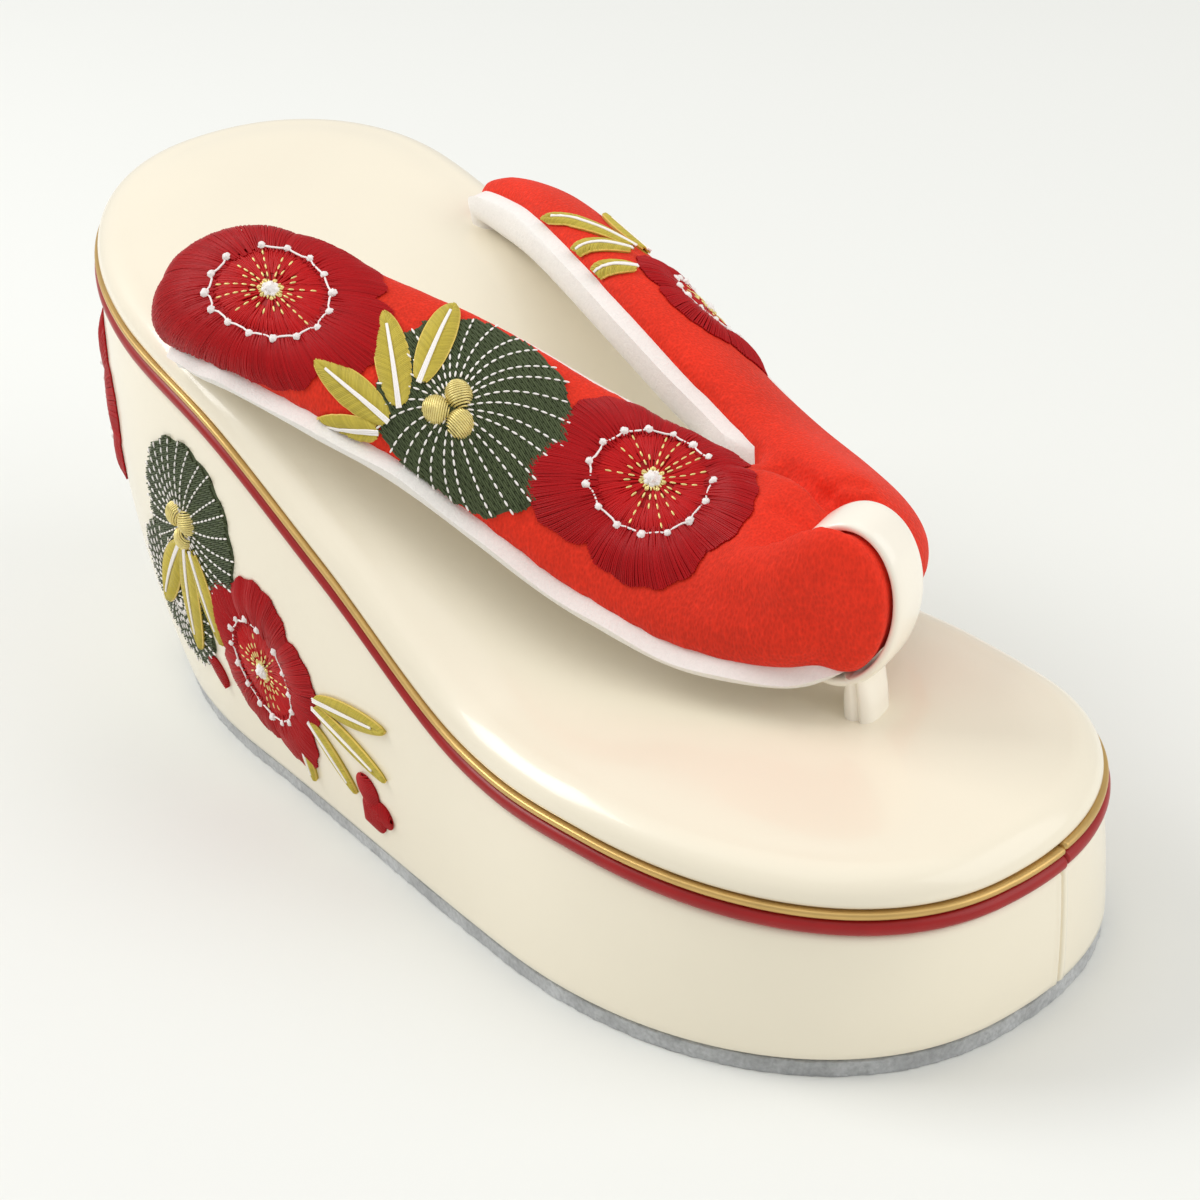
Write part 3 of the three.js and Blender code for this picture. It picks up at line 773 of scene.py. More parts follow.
class ZORI_OT_outsole(bpy.types.Operator):
    """Suede outsole with a slightly frayed edge"""
    bl_idname = "zori.outsole"
    bl_label = "Outsole"

    STATIONS = 240
    LEVELS = (0.0, 0.06, 0.94, 1.0)
    FRAY = 0.12
    ROUNDED_EDGE = 0.22

    def execute(self, context):
        sole = context.scene.zori_sole
        thick = sole.outsole_thick / MM
        nibble = random.Random(SEED)

        def profile(f, half):
            points = []
            for t in self.LEVELS:
                fray = nibble.uniform(-self.FRAY, self.FRAY) if 0 < t < 1 else self.ROUNDED_EDGE
                inset = {k: v + OUTSOLE_INSET + fray for k, v in WALL_FOOT.items()}
                p = edge_point(f, half, inset)
                points.append((p.x, p.y, t * thick))
            return points

        mesh = make_mesh("outsole_suede", *skin(sole_rings(profile, shares(self.STATIONS))))
        add_piece("outsole_suede", mesh, suede(sole.outsole_colour), ["outsole"])
        return {"FINISHED"}


class ZORI_OT_wall(bpy.types.Operator):
    """Leather wall of the wedge, butted together in a seam at the toe"""
    bl_idname = "zori.wall"
    bl_label = "Wedge wall"

    STATIONS = 180
    LEVELS = [0.0, 0.004, 0.012, 0.03, *[k / 26 for k in range(2, 25)], 0.96, 0.985, 0.995, 1.0]
    TURN_IN = 0.9
    SEAM_WIDTH = 0.28
    LIP_HIGH = 0.18
    LIP_AWAY = 0.9
    LIP_WIDTH = 0.6
    ROUGH = 0.42
    SHARP_DEG = 55

    def execute(self, context):
        sole = context.scene.zori_sole
        depth = sole.seam_depth / MM

        def profile(f, half):
            out = ground_normal(f, half, WALL_INSET)
            d = seam_distance(f) if half is INNER_HALF else FAR_FROM_SEAM
            lip = self.LIP_HIGH * bell(abs(d) - self.LIP_AWAY, self.LIP_WIDTH)
            seam = depth * bell(d, self.SEAM_WIDTH) - lip
            points = []
            for t in self.LEVELS:
                p = wall_point(sole, f, half, t)
                away = min(p.z - wall_foot_z(sole), wall_top_z(sole, p.y) - p.z)
                tuck = self.TURN_IN * (1 - min(away / self.TURN_IN, 1)) ** 2 + seam
                points.append((p.x - out.x * tuck, p.y - out.y * tuck, p.z))
            return points

        mesh = make_mesh("wedge_wall", *skin(sole_rings(profile, stations(self.STATIONS))))
        # The wall's colour carries painted light: it is lighter than the top's leather.
        leather = pearl_leather("enamelled_leather_wall", sole.wall_colour_with_painted_light, self.ROUGH)
        add_piece("wedge_wall", mesh, leather, ["platform"], self.SHARP_DEG)
        return {"FINISHED"}


class ZORI_OT_edge_trims(bpy.types.Operator):
    """Red cord and gold strip round the edge, both butted at the toe seam"""
    bl_idname = "zori.edge_trims"
    bl_label = "Edge trims"

    STATIONS = 150
    CORD_SIDES = 16
    # At the seam a trim shrinks by a share over a width, and its ends part by a step over a length.
    CORD_SEAM = {"shrink": 0.35, "width": 0.22, "step": 0.22, "length": 7}
    STRIP_SEAM = {"shrink": 0.3, "width": 0.25, "step": 0.28, "length": 8}
    # The strip's rounded corners: side, height and first angle of each.
    STRIP_CORNERS = ((1, 0, -90), (1, 1, 0), (0, 1, 90), (0, 0, 180))
    CORNER_RADIUS = 0.45
    CORNER_DEG = (0, 30, 60, 90)

    def edge_run(self, inset, seam):
        """Places once round the outline, with outward directions, and the seam's shrink and step."""
        places = stations(self.STATIONS)
        run = [(f, OUTER_HALF, FAR_FROM_SEAM) for f in places]
        run += [(f, INNER_HALF, seam_distance(f)) for f in reversed(places[1:-1])]
        for f, half, d in run:
            shrink = seam["shrink"] * bell(d, seam["width"])
            step = seam["step"] * math.copysign(math.exp(-abs(d) / seam["length"]), d)
            yield edge_point(f, half, inset), ground_normal(f, half, inset), shrink, step

    def strip_section(self, high):
        soft = self.CORNER_RADIUS
        section = []
        for cx, cz, turn in self.STRIP_CORNERS:
            for more in self.CORNER_DEG:
                a = math.radians(turn + more)
                x = cx * (WELT_IN - WELT_OUT) + (1 - 2 * cx) * soft + soft * math.cos(a)
                z = cz * high + (1 - 2 * cz) * soft + soft * math.sin(a)
                section.append((x - WELT_IN, z))
        return section

    def execute(self, context):
        sole = context.scene.zori_sole
        radius = sole.piping_radius / MM
        rings = []
        for p, out, shrink, step in self.edge_run(PIPING_INSET, self.CORD_SEAM):
            size = radius * (1 - shrink)
            middle = welt_z(p.y) - radius + step
            ring = []
            for a in circle(self.CORD_SIDES, 0.5):
                reach = out * size * math.cos(a)
                ring.append((p.x + reach.x, p.y + reach.y, middle + size * math.sin(a)))
            rings.append(ring)
        mesh = make_mesh("red_piping_cord", *skin(rings, True))
        add_piece("red_piping_cord", mesh, red_cord(sole.piping_colour), ["red_piping"])

        section = self.strip_section(sole.strip_height / MM)
        rings = []
        for p, out, shrink, step in self.edge_run(0.0, self.STRIP_SEAM):
            ring = []
            for x, z in section:
                q = p + out * (x - shrink)
                ring.append((q.x, q.y, welt_z(q.y) + SEAM_GAP + step + z * (1 - shrink)))
            rings.append(ring)
        mesh = make_mesh("gold_edge_strip", *skin(rings, True))
        add_piece("gold_edge_strip", mesh, gold_foil(sole.strip_colour), ["gold_welt"])
        return {"FINISHED"}


class ZORI_OT_cushion(bpy.types.Operator):
    """Padded leather top with a rounded rim and dimples where post and straps go in"""
    bl_idname = "zori.cushion"
    bl_label = "Top cushion"

    STATIONS = 260
    RIM_STEPS = 14
    RIM_UNDER = 0.3
    CROWN_SHARES = (0.25, 0.5, 0.75, 1.0)
    MIDDLE_SHARES = (0.3, 0.55, 0.8, 0.97)
    # Depth and width of the dimples.
    POST_DIMPLE = (0.9, 6.5)
    NECK_DIMPLE = (0.7, 9.0)
    ROUGH = 0.36
    SHARP_DEG = 60

    def execute(self, context):
        sole = context.scene.zori_sole
        lift = sole.board_lift / MM
        rim = sole.rim_round / MM
        seat = sole.strip_height / MM + 2 * SEAM_GAP
        boss = BOARD_INSET + SEAM_GAP
        dimples = [(POST["x"], POST["y"], *self.POST_DIMPLE)]
        dimples += [(x, y, *self.NECK_DIMPLE) for x, y in NECK_PLACES]

        def place(f, half, inset, up):
            p = edge_point(f, half, inset)
            z = welt_z(p.y) + up
            for x, y, depth, width in dimples:
                z -= depth * bell(math.hypot(p.x - x - OUTLINE_SHIFT, p.y - y), width)
            return (p.x, p.y, z)

        def profile(f, half):
            points = [place(f, half, boss, -2 * sole.piping_radius / MM), place(f, half, boss, seat)]
            points.append(place(f, half, RIM_INSET + self.RIM_UNDER, seat))
            for t in shares(self.RIM_STEPS):
                a = t * math.pi / 2
                up = seat + mix(RIM_LIP, lift - seat, math.sin(a))
                points.append(place(f, half, RIM_INSET + rim * (1 - math.cos(a)), up))
            for t in self.CROWN_SHARES:
                inset = RIM_INSET + mix(rim, CROWN_INSET, t)
                points.append(place(f, half, inset, lift + BOARD_DOME * math.sin(t * math.pi / 2)))
            for t in self.MIDDLE_SHARES:
                inset = RIM_INSET + mix(CROWN_INSET, CENTRE_INSET, t)
                points.append(place(f, half, inset, lift + BOARD_DOME))
            return points

        mesh = make_mesh("top_cushion_leather", *skin(sole_rings(profile, shares(self.STATIONS))))
        leather = pearl_leather("enamelled_leather_top", sole.top_colour, self.ROUGH)
        piece = add_piece("top_cushion_leather", mesh, leather,
                          ["top_cushion"], self.SHARP_DEG)
        return {"FINISHED"}


# Straps, lining and toe post


def loop_axes():
    """Directions along and across the loop, in plan."""
    turn = math.radians(POST["turn_deg"])
    along = np.array((math.cos(turn), math.sin(turn), 0.0))
    outward = np.array((-along[1], along[0], 0.0))
    return along, outward


def post_foot(sole):
    return np.array((POST["x"] + OUTLINE_SHIFT, POST["y"], board_z(sole, POST["y"])))


def loop_place(sole, points):
    """Places relative to the loop: ellipse coordinates in its plane, and across its band."""
    along, outward = loop_axes()
    rel = points - post_foot(sole)
    fore = rel @ along - LOOP["along"]
    up = rel[:, 2] - LOOP["lift"]
    lean = math.radians(LOOP["lean_deg"])
    u = fore * math.cos(lean) + up * math.sin(lean)
    v = -fore * math.sin(lean) + up * math.cos(lean)
    return u, v, rel @ outward


def from_loop(sole, u, v, across):
    """Points from places relative to the loop."""
    along, outward = loop_axes()
    lean = math.radians(LOOP["lean_deg"])
    fore = LOOP["along"] + u * math.cos(lean) - v * math.sin(lean)
    up = LOOP["lift"] + u * math.sin(lean) + v * math.cos(lean)
    return post_foot(sole) + np.outer(fore, along) + np.outer(across, outward) + np.outer(up, (0, 0, 1))


# The pinch eases out beside the band on its outer and inner side, and away from the loop.
PINCH_OUTER = 2.2
PINCH_INNER = 4.0
PINCH_END = 2.3
PINCH_FADE = 0.6


def pinch(sole, straps, points, room):
    """Draws points in where the leather loop holds them, easing out on both sides of its band."""
    u, v, across = loop_place(sole, points)
    half_thick = straps.band_thick / MM / 2
    reach = LOOP["reach"] - half_thick - room
    rise = LOOP["rise"] - half_thick - room
    size = np.sqrt((u / reach) ** 2 + (v / rise) ** 2) + TINY
    half_band = straps.band_width / MM / 2
    fade = np.where(across > 0, PINCH_OUTER, PINCH_INNER)
    beside = np.clip(1 - (np.abs(across) - half_band) / fade, 0, 1)
    near = np.clip((PINCH_END - size) / PINCH_FADE, 0, 1)
    weight = beside ** 2 * (3 - 2 * beside) * near * (size > 1)
    scale = 1 + (1 / size - 1) * weight
    return from_loop(sole, u * scale, v * scale, across)


def read_points(mesh, field):
    """One vector field of a mesh's vertices as rows."""
    flat = np.empty(len(mesh.vertices) * 3)
    mesh.vertices.foreach_get(field, flat)
    return flat.reshape(-1, 3)


def points_of(mesh):
    return read_points(mesh, "co") / MM


def set_points(mesh, points):
    mesh.vertices.foreach_set("co", (points * MM).ravel())
    mesh.update()


def surface_of(mesh):
    return BVHTree.FromPolygons([v.co for v in mesh.vertices], [p.vertices for p in mesh.polygons])


def evaluated_copy(piece, name):
    graph = bpy.context.evaluated_depsgraph_get()
    mesh = bpy.data.meshes.new_from_object(piece.evaluated_get(graph))
    mesh.name = name
    return mesh


class ZORI_OT_straps(bpy.types.Operator):
    """Padded crepe straps: one cloth skin over both arms, filled by simulation"""
    bl_idname = "zori.straps"
    bl_label = "Straps"

    ARM_STEPS = 104
    ARM_SIDES = 64
    # The skin starts smaller by this share of the filling's room.
    SLACK_SHARE = 0.8
    SMOOTH_ROUNDS = 6
    ROOM_IN_LOOP = 0.35
    NO_SHARP_EDGE = 180
    BUNCH_STEPS = 4
    BUNCH_SIDES = 24
    # The cloth inside the loop: how far it reaches, and how its upper rear side bulges.
    KNUCKLE_STEPS = 20
    KNUCKLE_SIDES = 48
    KNUCKLE_INNER = -7.5
    KNUCKLE_PAST_BAND = 3.2
    KNUCKLE_REACH = 0.8
    KNUCKLE_TOP = 0.2
    KNUCKLE_UNDER = -1.8
    KNUCKLE_LAST = 0.99
    BULGE_DEG = 40
    BULGE_POWER = 1.5
    BULGE_REACH = 3.4
    BULGE_RISE = 2.4
    BULGE_ACROSS = 3.0
    # The hollow beside the loop: rounds of smoothing, and where the filling of it fades.
    PLUMP_ROUNDS = 60
    PLUMP_PULL = 0.6
    PLUMP_START = 2.5
    PLUMP_END = 22
    PLUMP_FADE = 8
    PLUMP_FAR = 2.6
    # The filling: how deep the sewn underside starts, and how stiff the cloth is.
    SEWN_BELOW = -0.5
    FILL_FRAMES = 20
    FILL_QUALITY = 5
    TENSION = 20
    BENDING = 2.0

    def execute(self, context):
        sole, straps = context.scene.zori_sole, context.scene.zori_straps
        shrunk = -straps.slack / MM * self.SLACK_SHARE
        arms = []
        for name, (rows, side) in ARMS.items():
            arms.append(Arm(sole, NECKS[name] + rows[1:], side, self.ARM_STEPS))
        skins = [skin(arm.rings(self.ARM_SIDES, shrunk)) for arm in arms]
        skins += [self.bunch(sole, rows) for rows in BUNCHES]
        skins.append(self.knuckle(sole, straps))
        body = bpy.data.objects.new("strap_block", make_mesh("strap_block", *joined(skins)))
        context.scene.collection.objects.link(body)
        remesh = body.modifiers.new("Voxels", "REMESH")
        remesh.mode = "VOXEL"
        remesh.voxel_size = straps.voxel
        smooth = body.modifiers.new("Smooth", "SMOOTH")
        smooth.factor = 0.5
        smooth.iterations = self.SMOOTH_ROUNDS
        mesh = evaluated_copy(body, "strap_cover_crepe")
        bpy.data.objects.remove(body)
        self.plump(sole, straps, mesh)
        self.fill(context, mesh, arms, straps)
        set_points(mesh, pinch(sole, straps, points_of(mesh), self.ROOM_IN_LOOP))
        piece = add_piece("strap_cover_crepe", mesh, crepe(straps.crepe_colour),
                          ["strap_cover"], self.NO_SHARP_EDGE)
        finer = piece.modifiers.new("Finer", "SUBSURF")
        finer.levels = finer.render_levels = 1
        piece.data = evaluated_copy(piece, "strap_cover_crepe")
        piece.modifiers.clear()
        self.crease(piece.data)
        return {"FINISHED"}

    def bunch(self, sole, rows):
        """A roll of cloth along a path, each ring upright."""
        path = numbered(rows)
        rings = []
        for i in range(self.BUNCH_STEPS * (len(rows) - 1) + 1):
            x, y, up, radius = [table_at(path, "at", c, i / self.BUNCH_STEPS) for c in BUNCH_COLUMNS]
            ring = []
            for a in circle(self.BUNCH_SIDES):
                z = board_z(sole, y) + up + radius * math.sin(a)
                ring.append((x + OUTLINE_SHIFT + radius * math.cos(a), y, z))
            rings.append(ring)
        return skin(rings)

    def knuckle(self, sole, straps):
        """The cloth inside the loop, which swells beside it and hides the loop's near edge."""
        outer = straps.band_width / MM / 2 + self.KNUCKLE_PAST_BAND
        a = np.arange(self.KNUCKLE_SIDES) / self.KNUCKLE_SIDES * 2 * np.pi
        bulge = np.clip(np.cos(a - math.radians(self.BULGE_DEG)), 0, 1) ** self.BULGE_POWER
        high = LOOP["rise"] + np.where(np.sin(a) > 0, self.KNUCKLE_TOP, self.KNUCKLE_UNDER)
        rings = []
        for i in range(self.KNUCKLE_STEPS + 1):
            t = -self.KNUCKLE_LAST + 2 * self.KNUCKLE_LAST * i / self.KNUCKLE_STEPS
            size = (1 - t ** 4) ** 0.25
            u = (LOOP["reach"] + self.KNUCKLE_REACH + self.BULGE_REACH * bulge) * size * np.cos(a)
            v = (high + self.BULGE_RISE * bulge) * size * np.sin(a)
            across = mix(self.KNUCKLE_INNER, outer + self.BULGE_ACROSS * bulge, (t + 1) / 2)
            rings.append(from_loop(sole, u, v, across))
        return skin(rings)

    def plump(self, sole, straps, mesh):
        """Fills the hollow between the cloth inside the loop and the outer arm."""
        points = points_of(mesh)
        normals = read_points(mesh, "normal")
        ends = np.array([e.vertices[:] for e in mesh.edges])
        count = np.bincount(ends.ravel(), minlength=len(points))[:, None]
        soft = points.copy()
        for _ in range(self.PLUMP_ROUNDS):
            total = np.zeros_like(soft)
            np.add.at(total, ends[:, 0], soft[ends[:, 1]])
            np.add.at(total, ends[:, 1], soft[ends[:, 0]])
            soft = mix(soft, total / count, self.PLUMP_PULL)
        u, v, across = loop_place(sole, points)
        beside = across - straps.band_width / MM / 2
        far = np.sqrt((u / LOOP["reach"]) ** 2 + (v / LOOP["rise"]) ** 2)
        weight = np.clip(beside / self.PLUMP_START, 0, 1)
        weight = weight * np.clip((self.PLUMP_END - beside) / self.PLUMP_FADE, 0, 1)
        weight = weight * np.clip(self.PLUMP_FAR - far, 0, 1)
        lift = np.einsum("ij,ij->i", soft - points, normals)
        set_points(mesh, points + normals * (np.maximum(lift, 0) * weight)[:, None])

    def fill(self, context, mesh, arms, straps):
        """Lets pressure push the cloth out from its sewn underside, by no more than the slack."""
        scene = context.scene
        block = bpy.data.objects.new("strap_cloth", mesh.copy())
        scene.collection.objects.link(block)
        start = points_of(mesh)
        sections = [s for arm in arms for s in arm.frames]
        centres = np.array([s["centre"] for s in sections])
        outs = np.array([s["out"] for s in sections])
        nearest = np.array([int(((centres - p) ** 2).sum(axis=1).argmin()) for p in start])
        height = np.einsum("ij,ij->i", start - centres[nearest], outs[nearest])
        sewn = block.vertex_groups.new(name="sewn")
        sewn.add([int(i) for i in np.nonzero(height < self.SEWN_BELOW)[0]], 1.0, "REPLACE")
        cloth = block.modifiers.new("Filling", "CLOTH")
        cloth.settings.quality = self.FILL_QUALITY
        cloth.settings.use_pressure = True
        cloth.settings.uniform_pressure_force = straps.pressure
        cloth.settings.vertex_group_mass = "sewn"
        cloth.settings.tension_stiffness = self.TENSION
        cloth.settings.bending_stiffness = self.BENDING
        cloth.settings.effector_weights.gravity = 0
        cloth.point_cache.frame_start = 1
        cloth.point_cache.frame_end = self.FILL_FRAMES
        for step in range(1, self.FILL_FRAMES + 1):
            scene.frame_set(step)
        moved = points_of(evaluated_copy(block, "strap_filled")) - start
        length = np.linalg.norm(moved, axis=1, keepdims=True)
        cap = straps.slack / MM
        set_points(mesh, start + moved * np.minimum(1, cap / np.maximum(length, TINY)))
        bpy.data.objects.remove(block)
        scene.frame_set(1)

    def crease(self, mesh):
        """Presses short creases into the cloth where the arms meet behind the loop."""
        points = points_of(mesh)
        normals = read_points(mesh, "normal")
        push = np.zeros(len(points))
        surface = surface_of(mesh)
        for depth, width, path in CREASES:
            line = []
            for x, y in path:
                above = Vector((x + OUTLINE_SHIFT, y, 2 * LENGTH)) * MM
                line.append(np.array(surface.ray_cast(above, Vector((0, 0, -1)))[0]) / MM)
            away = np.full(len(points), np.inf)
            for a, b in zip(line[:-1], line[1:]):
                t = np.clip((points - a) @ (b - a) / ((b - a) @ (b - a)), 0, 1)[:, None]
                away = np.minimum(away, np.linalg.norm(points - (a + t * (b - a)), axis=1))
            push += depth * np.exp(-(away / width) ** 2)
        set_points(mesh, points - normals * np.minimum(push, CREASE_LIMIT)[:, None])


class ZORI_OT_lining(bpy.types.Operator):
    """White felt lining under both straps, its cut edge a little wavy"""
    bl_idname = "zori.lining"
    bl_label = "Strap lining"

    STEPS = 120
    STEPS_PER_ROW = 10
    SIDES = 40
    MERGE = 0.0001
    ROOM_IN_LOOP = 0.2
    SHARP_DEG = 50
    # The felt goes round each section from the outer edge, under it, to the inner edge.
    FROM_DEG = 173
    TO_DEG = 359
    SUNK = 1.92
    LAST_SHARE = 0.97
    # Waves of the cut edge in degrees: size, turn a step and start; none at the rear end.
    WAVES = ((1.6, 0.55, 0.0), (1.0, 0.23, 1.0))
    WAVE_EASE = 0.1
    # Each change along the strap starts at a share of its length and is spread over another.
    TUCK_DEG = 36
    TUCK = {"outer": (0.9, 0.08), "inner": (0.62, 0.2)}
    FORK_DEG = 300
    FORK = (0.74, 0.12)
    SINK_TO = -1.6
    SINK = (0.66, 0.07)
    SINK_ACROSS = (0.6, 0.25)

    def rings(self, arm, rows, name, thick):
        """Rings round one strip of felt, from the rear end forward."""
        def change(share, span):
            return ease((share - span[0]) / span[1])

        rings = []
        for i, section in enumerate(arm.frames):
            share = (i / self.STEPS_PER_ROW - 1) / (len(rows) - 1)
            if share > self.LAST_SHARE:
                break
            wave = sum(size * math.sin(i * turn + start) for size, turn, start in self.WAVES)
            first = self.FROM_DEG - wave * ease(share / self.WAVE_EASE)
            first += self.TUCK_DEG * change(share, self.TUCK[name])
            last = mix(self.TO_DEG, self.FORK_DEG, change(share, self.FORK))
            sink = change(share, self.SINK)
            near, far = [], []
            for t in shares(self.SIDES):
                a = math.radians(mix(first, last, t))
                grow = mix(SEAM_GAP + thick, self.SINK_TO, sink * change(t, self.SINK_ACROSS))
                near.append(arm.point(section, a, -self.SUNK))
                far.append(arm.point(section, a, grow))
            rings.append(near + far[::-1])
        return rings

    def execute(self, context):
        sole, straps = context.scene.zori_sole, context.scene.zori_straps
        skins = []
        for name, (rows, side) in ARMS.items():
            arm = Arm(sole, NECKS[name] + rows[1:], side, self.STEPS)
            skins.append(skin(self.rings(arm, rows, name, straps.lining_thick / MM)))
        mesh = make_mesh("strap_lining_felt", *joined(skins), self.MERGE)
        set_points(mesh, pinch(sole, straps, points_of(mesh), self.ROOM_IN_LOOP))
        piece = add_piece("strap_lining_felt", mesh, felt(straps.felt_colour),
                          ["strap_lining"], self.SHARP_DEG)
        return {"FINISHED"}


class ZORI_OT_toe_post(bpy.types.Operator):
    """Leather toe post: a loop round the straps and a lapped stem into the cushion"""
    bl_idname = "zori.toe_post"
    bl_label = "Toe post"

    LOOP_STEPS = 120
    LOOP_SIDES = 20
    EDGE_POWER = 0.35
    FACE_POWER = 0.6
    BAND_CROWN = 0.35
    STEM_STEPS = 24
    STEM_SIDES = 96
    STEM_SUNK = -4.0
    STEM_INTO_LOOP = 1.6
    STEM_WIDER = 0.8
    STEM_POWER = 0.7
    # The stem spreads to the loop's width, and thins, over the upper part of its height.
    FLARE_FROM = 0.55
    FLARE_OVER = 0.45
    FLARE_DEEP = 0.8
    LAP_DEPTH = 0.7
    LAP_AT_DEG = 356
    LAP_WIDE_DEG = 5.4
    ROUGH = 0.38
    SHARP_DEG = 50

    def loop_rings(self, sole, straps):
        """Rings round the band's section, once round the loop."""
        half_band = straps.band_width / MM / 2
        half_thick = straps.band_thick / MM / 2
        rings = []
        for a in circle(self.LOOP_STEPS):
            ring = []
            for b in circle(self.LOOP_SIDES, 0.5):
                across = half_band * signed_power(math.cos(b), self.EDGE_POWER)
                crown = self.BAND_CROWN * (1 - (across / half_band) ** 2)
                grow = half_thick * signed_power(math.sin(b), self.FACE_POWER) + crown
                u = (LOOP["reach"] + grow) * math.cos(a)
                v = (LOOP["rise"] + grow) * math.sin(a)
                ring.append((u, v, across))
            rings.append(from_loop(sole, *np.array(ring).T))
        return rings

    def stem_rings(self, sole, straps):
        """Rings round the stem, from inside the cushion up into the loop."""
        along, outward = loop_axes()
        foot = post_foot(sole)
        top = LOOP["lift"] - LOOP["rise"] + self.STEM_INTO_LOOP
        rings = []
        for t in shares(self.STEM_STEPS):
            lift = mix(self.STEM_SUNK, top, t)
            flare = ease((t - self.FLARE_FROM) / self.FLARE_OVER)
            wide = mix(POST["wide"] + self.STEM_WIDER, straps.band_width / MM, flare) / 2
            deep = mix(POST["deep"], POST["deep"] * self.FLARE_DEEP, flare) / 2
            ring = []
            for a in circle(self.STEM_SIDES):
                turn = (math.degrees(a) - self.LAP_AT_DEG + 180) % 360 - 180
                lap = self.LAP_DEPTH * bell(turn, self.LAP_WIDE_DEG)
                x = (wide - lap) * signed_power(math.cos(a), self.STEM_POWER)
                y = (deep - lap) * signed_power(math.sin(a), self.STEM_POWER)
                ring.append(foot + outward * x + along * y + np.array((0, 0, lift)))
            rings.append(ring)
        return rings

    def execute(self, context):
        sole, straps = context.scene.zori_sole, context.scene.zori_straps
        skins = [skin(self.loop_rings(sole, straps), True), skin(self.stem_rings(sole, straps))]
        mesh = make_mesh("toe_post_leather", *joined(skins))
        # The post's colour carries painted light: it is lighter than the top's leather.
        leather = pearl_leather("enamelled_leather_post", straps.post_colour_with_painted_light, self.ROUGH)
        add_piece("toe_post_leather", mesh, leather, ["toe_post"], self.SHARP_DEG)
        return {"FINISHED"}


# Embroidery: motifs are drawn flat in millimetres and laid on a patch of the real surface.

# A bed lies under each motif: heights of its top, its edge and its underside, and its rings.
BED_HEIGHT = 0.24
BED_FOOT = -0.3
BED_UNDER = -0.5
BED_SIDES = 72
BED_SHARES = (0.0, 0.15, 0.3, 0.45, 0.6, 0.75, 0.88, 0.97, 1.0)


class Hoop:
    """The place of one motif on a patch: its centre, its turn and its stretch along the patch."""

    def __init__(self, patch, u, v, turn_deg=0.0, stretch=1.0):
        self.patch, self.u, self.v, self.stretch = patch, u, v, stretch
        self.cos, self.sin = math.cos(math.radians(turn_deg)), math.sin(math.radians(turn_deg))

    def flat(self, x, y):
        x, y = x * self.stretch, y / self.stretch
        return self.u + self.cos * x - self.sin * y, self.v + self.sin * x + self.cos * y

    def spot(self, radius, angle):
        return self.flat(radius * math.cos(angle), radius * math.sin(angle))


class Needlework:
    """Collects strands, running stitches, knots and beds of one area, sorted by thread."""

    def __init__(self, settings):
        self.spacing = settings.thread_spacing / MM
        self.knot = settings.knot_size / MM
        self.strands, self.runs, self.knots, self.beds = {}, {}, {}, {}
        self.rng = random.Random(SEED)

    def lay(self, patch, line):
        """Lays a line on a surface; the part that would leave the surface is cut off."""
        laid = []
        for u, v, height in line:
            if not patch.holds(u, v):
                break
            laid.append(patch.at(u, v, height))
        return laid

    def strand(self, thread, patch, line):
        laid = self.lay(patch, line)
        if len(laid) > 1:
            self.strands.setdefault(thread, []).append((laid, self.rng.random()))

    def run(self, thread, patch, line):
        laid = self.lay(patch, line)
        if len(laid) > 1:
            self.runs.setdefault(thread, []).append((laid, self.rng.random()))

    def knot_at(self, thread, patch, u, v, height, size):
        if patch.holds(u, v):
            self.knots.setdefault(thread, []).append((patch.at(u, v, height), size))

    def bed(self, thread, patch, rows, wrapped=False):
        """A thin closed bed under a motif, from rows of like length, its underside in the cloth."""
        verts, faces = self.beds.setdefault(thread, ([], []))
        top, under = {}, {}
        for i, row in enumerate(rows):
            for j, (u, v, height) in enumerate(row):
                if patch.holds(u, v):
                    top[i, j], under[i, j] = len(verts), len(verts) + 1
                    verts += [patch.at(u, v, height), patch.at(u, v, BED_UNDER)]
        sides = set()
        width = len(rows[0])
        for i in range(len(rows) - 1):
            for j in range(width if wrapped else width - 1):
                k = (j + 1) % width
                corners = [(i, j), (i, k), (i + 1, k), (i + 1, j)]
                if all(c in top for c in corners):
                    faces.append(tuple(top[c] for c in corners))
                    faces.append(tuple(under[c] for c in reversed(corners)))
                    sides.update(zip(corners, corners[1:] + corners[:1]))
        for p, q in sorted(sides):
            if (q, p) not in sides:
                faces.append((top[q], top[p], under[p], under[q]))


def disc_bed(work, thread, hoop, reach):
    """A bed whose edge follows a motif's outline and dips into the cloth."""
    rows = []
    for share in BED_SHARES:
        height = BED_HEIGHT if share < 1 else BED_FOOT
        rows.append([(*hoop.spot(reach(a) * share, a), height) for a in circle(BED_SIDES)])
    work.bed(thread, hoop.patch, rows, True)


def roughly_round(rng, count, loose):
    """Angles once round, each off its even place by a share of a step."""
    for k in range(count):
        yield 2 * math.pi * (k + rng.uniform(-loose, loose)) / count


# Plum blossom: depth of its lobes as a share of the radius, counts, and heights over the cloth.
LOBE_DEPTH = 0.2
LOBE_POWER = 0.55
FRAYED = 0.014
PETAL_LOW = 0.2
PETAL_RISE = 1.05
HEART_LOW = 0.22
HEART_RISE = 0.28
RING_KNOTS = 15
RING_HEIGHT = 0.75
STAMENS = 20
STAMEN_HEIGHT = 0.58
CENTRE_KNOTS = 7


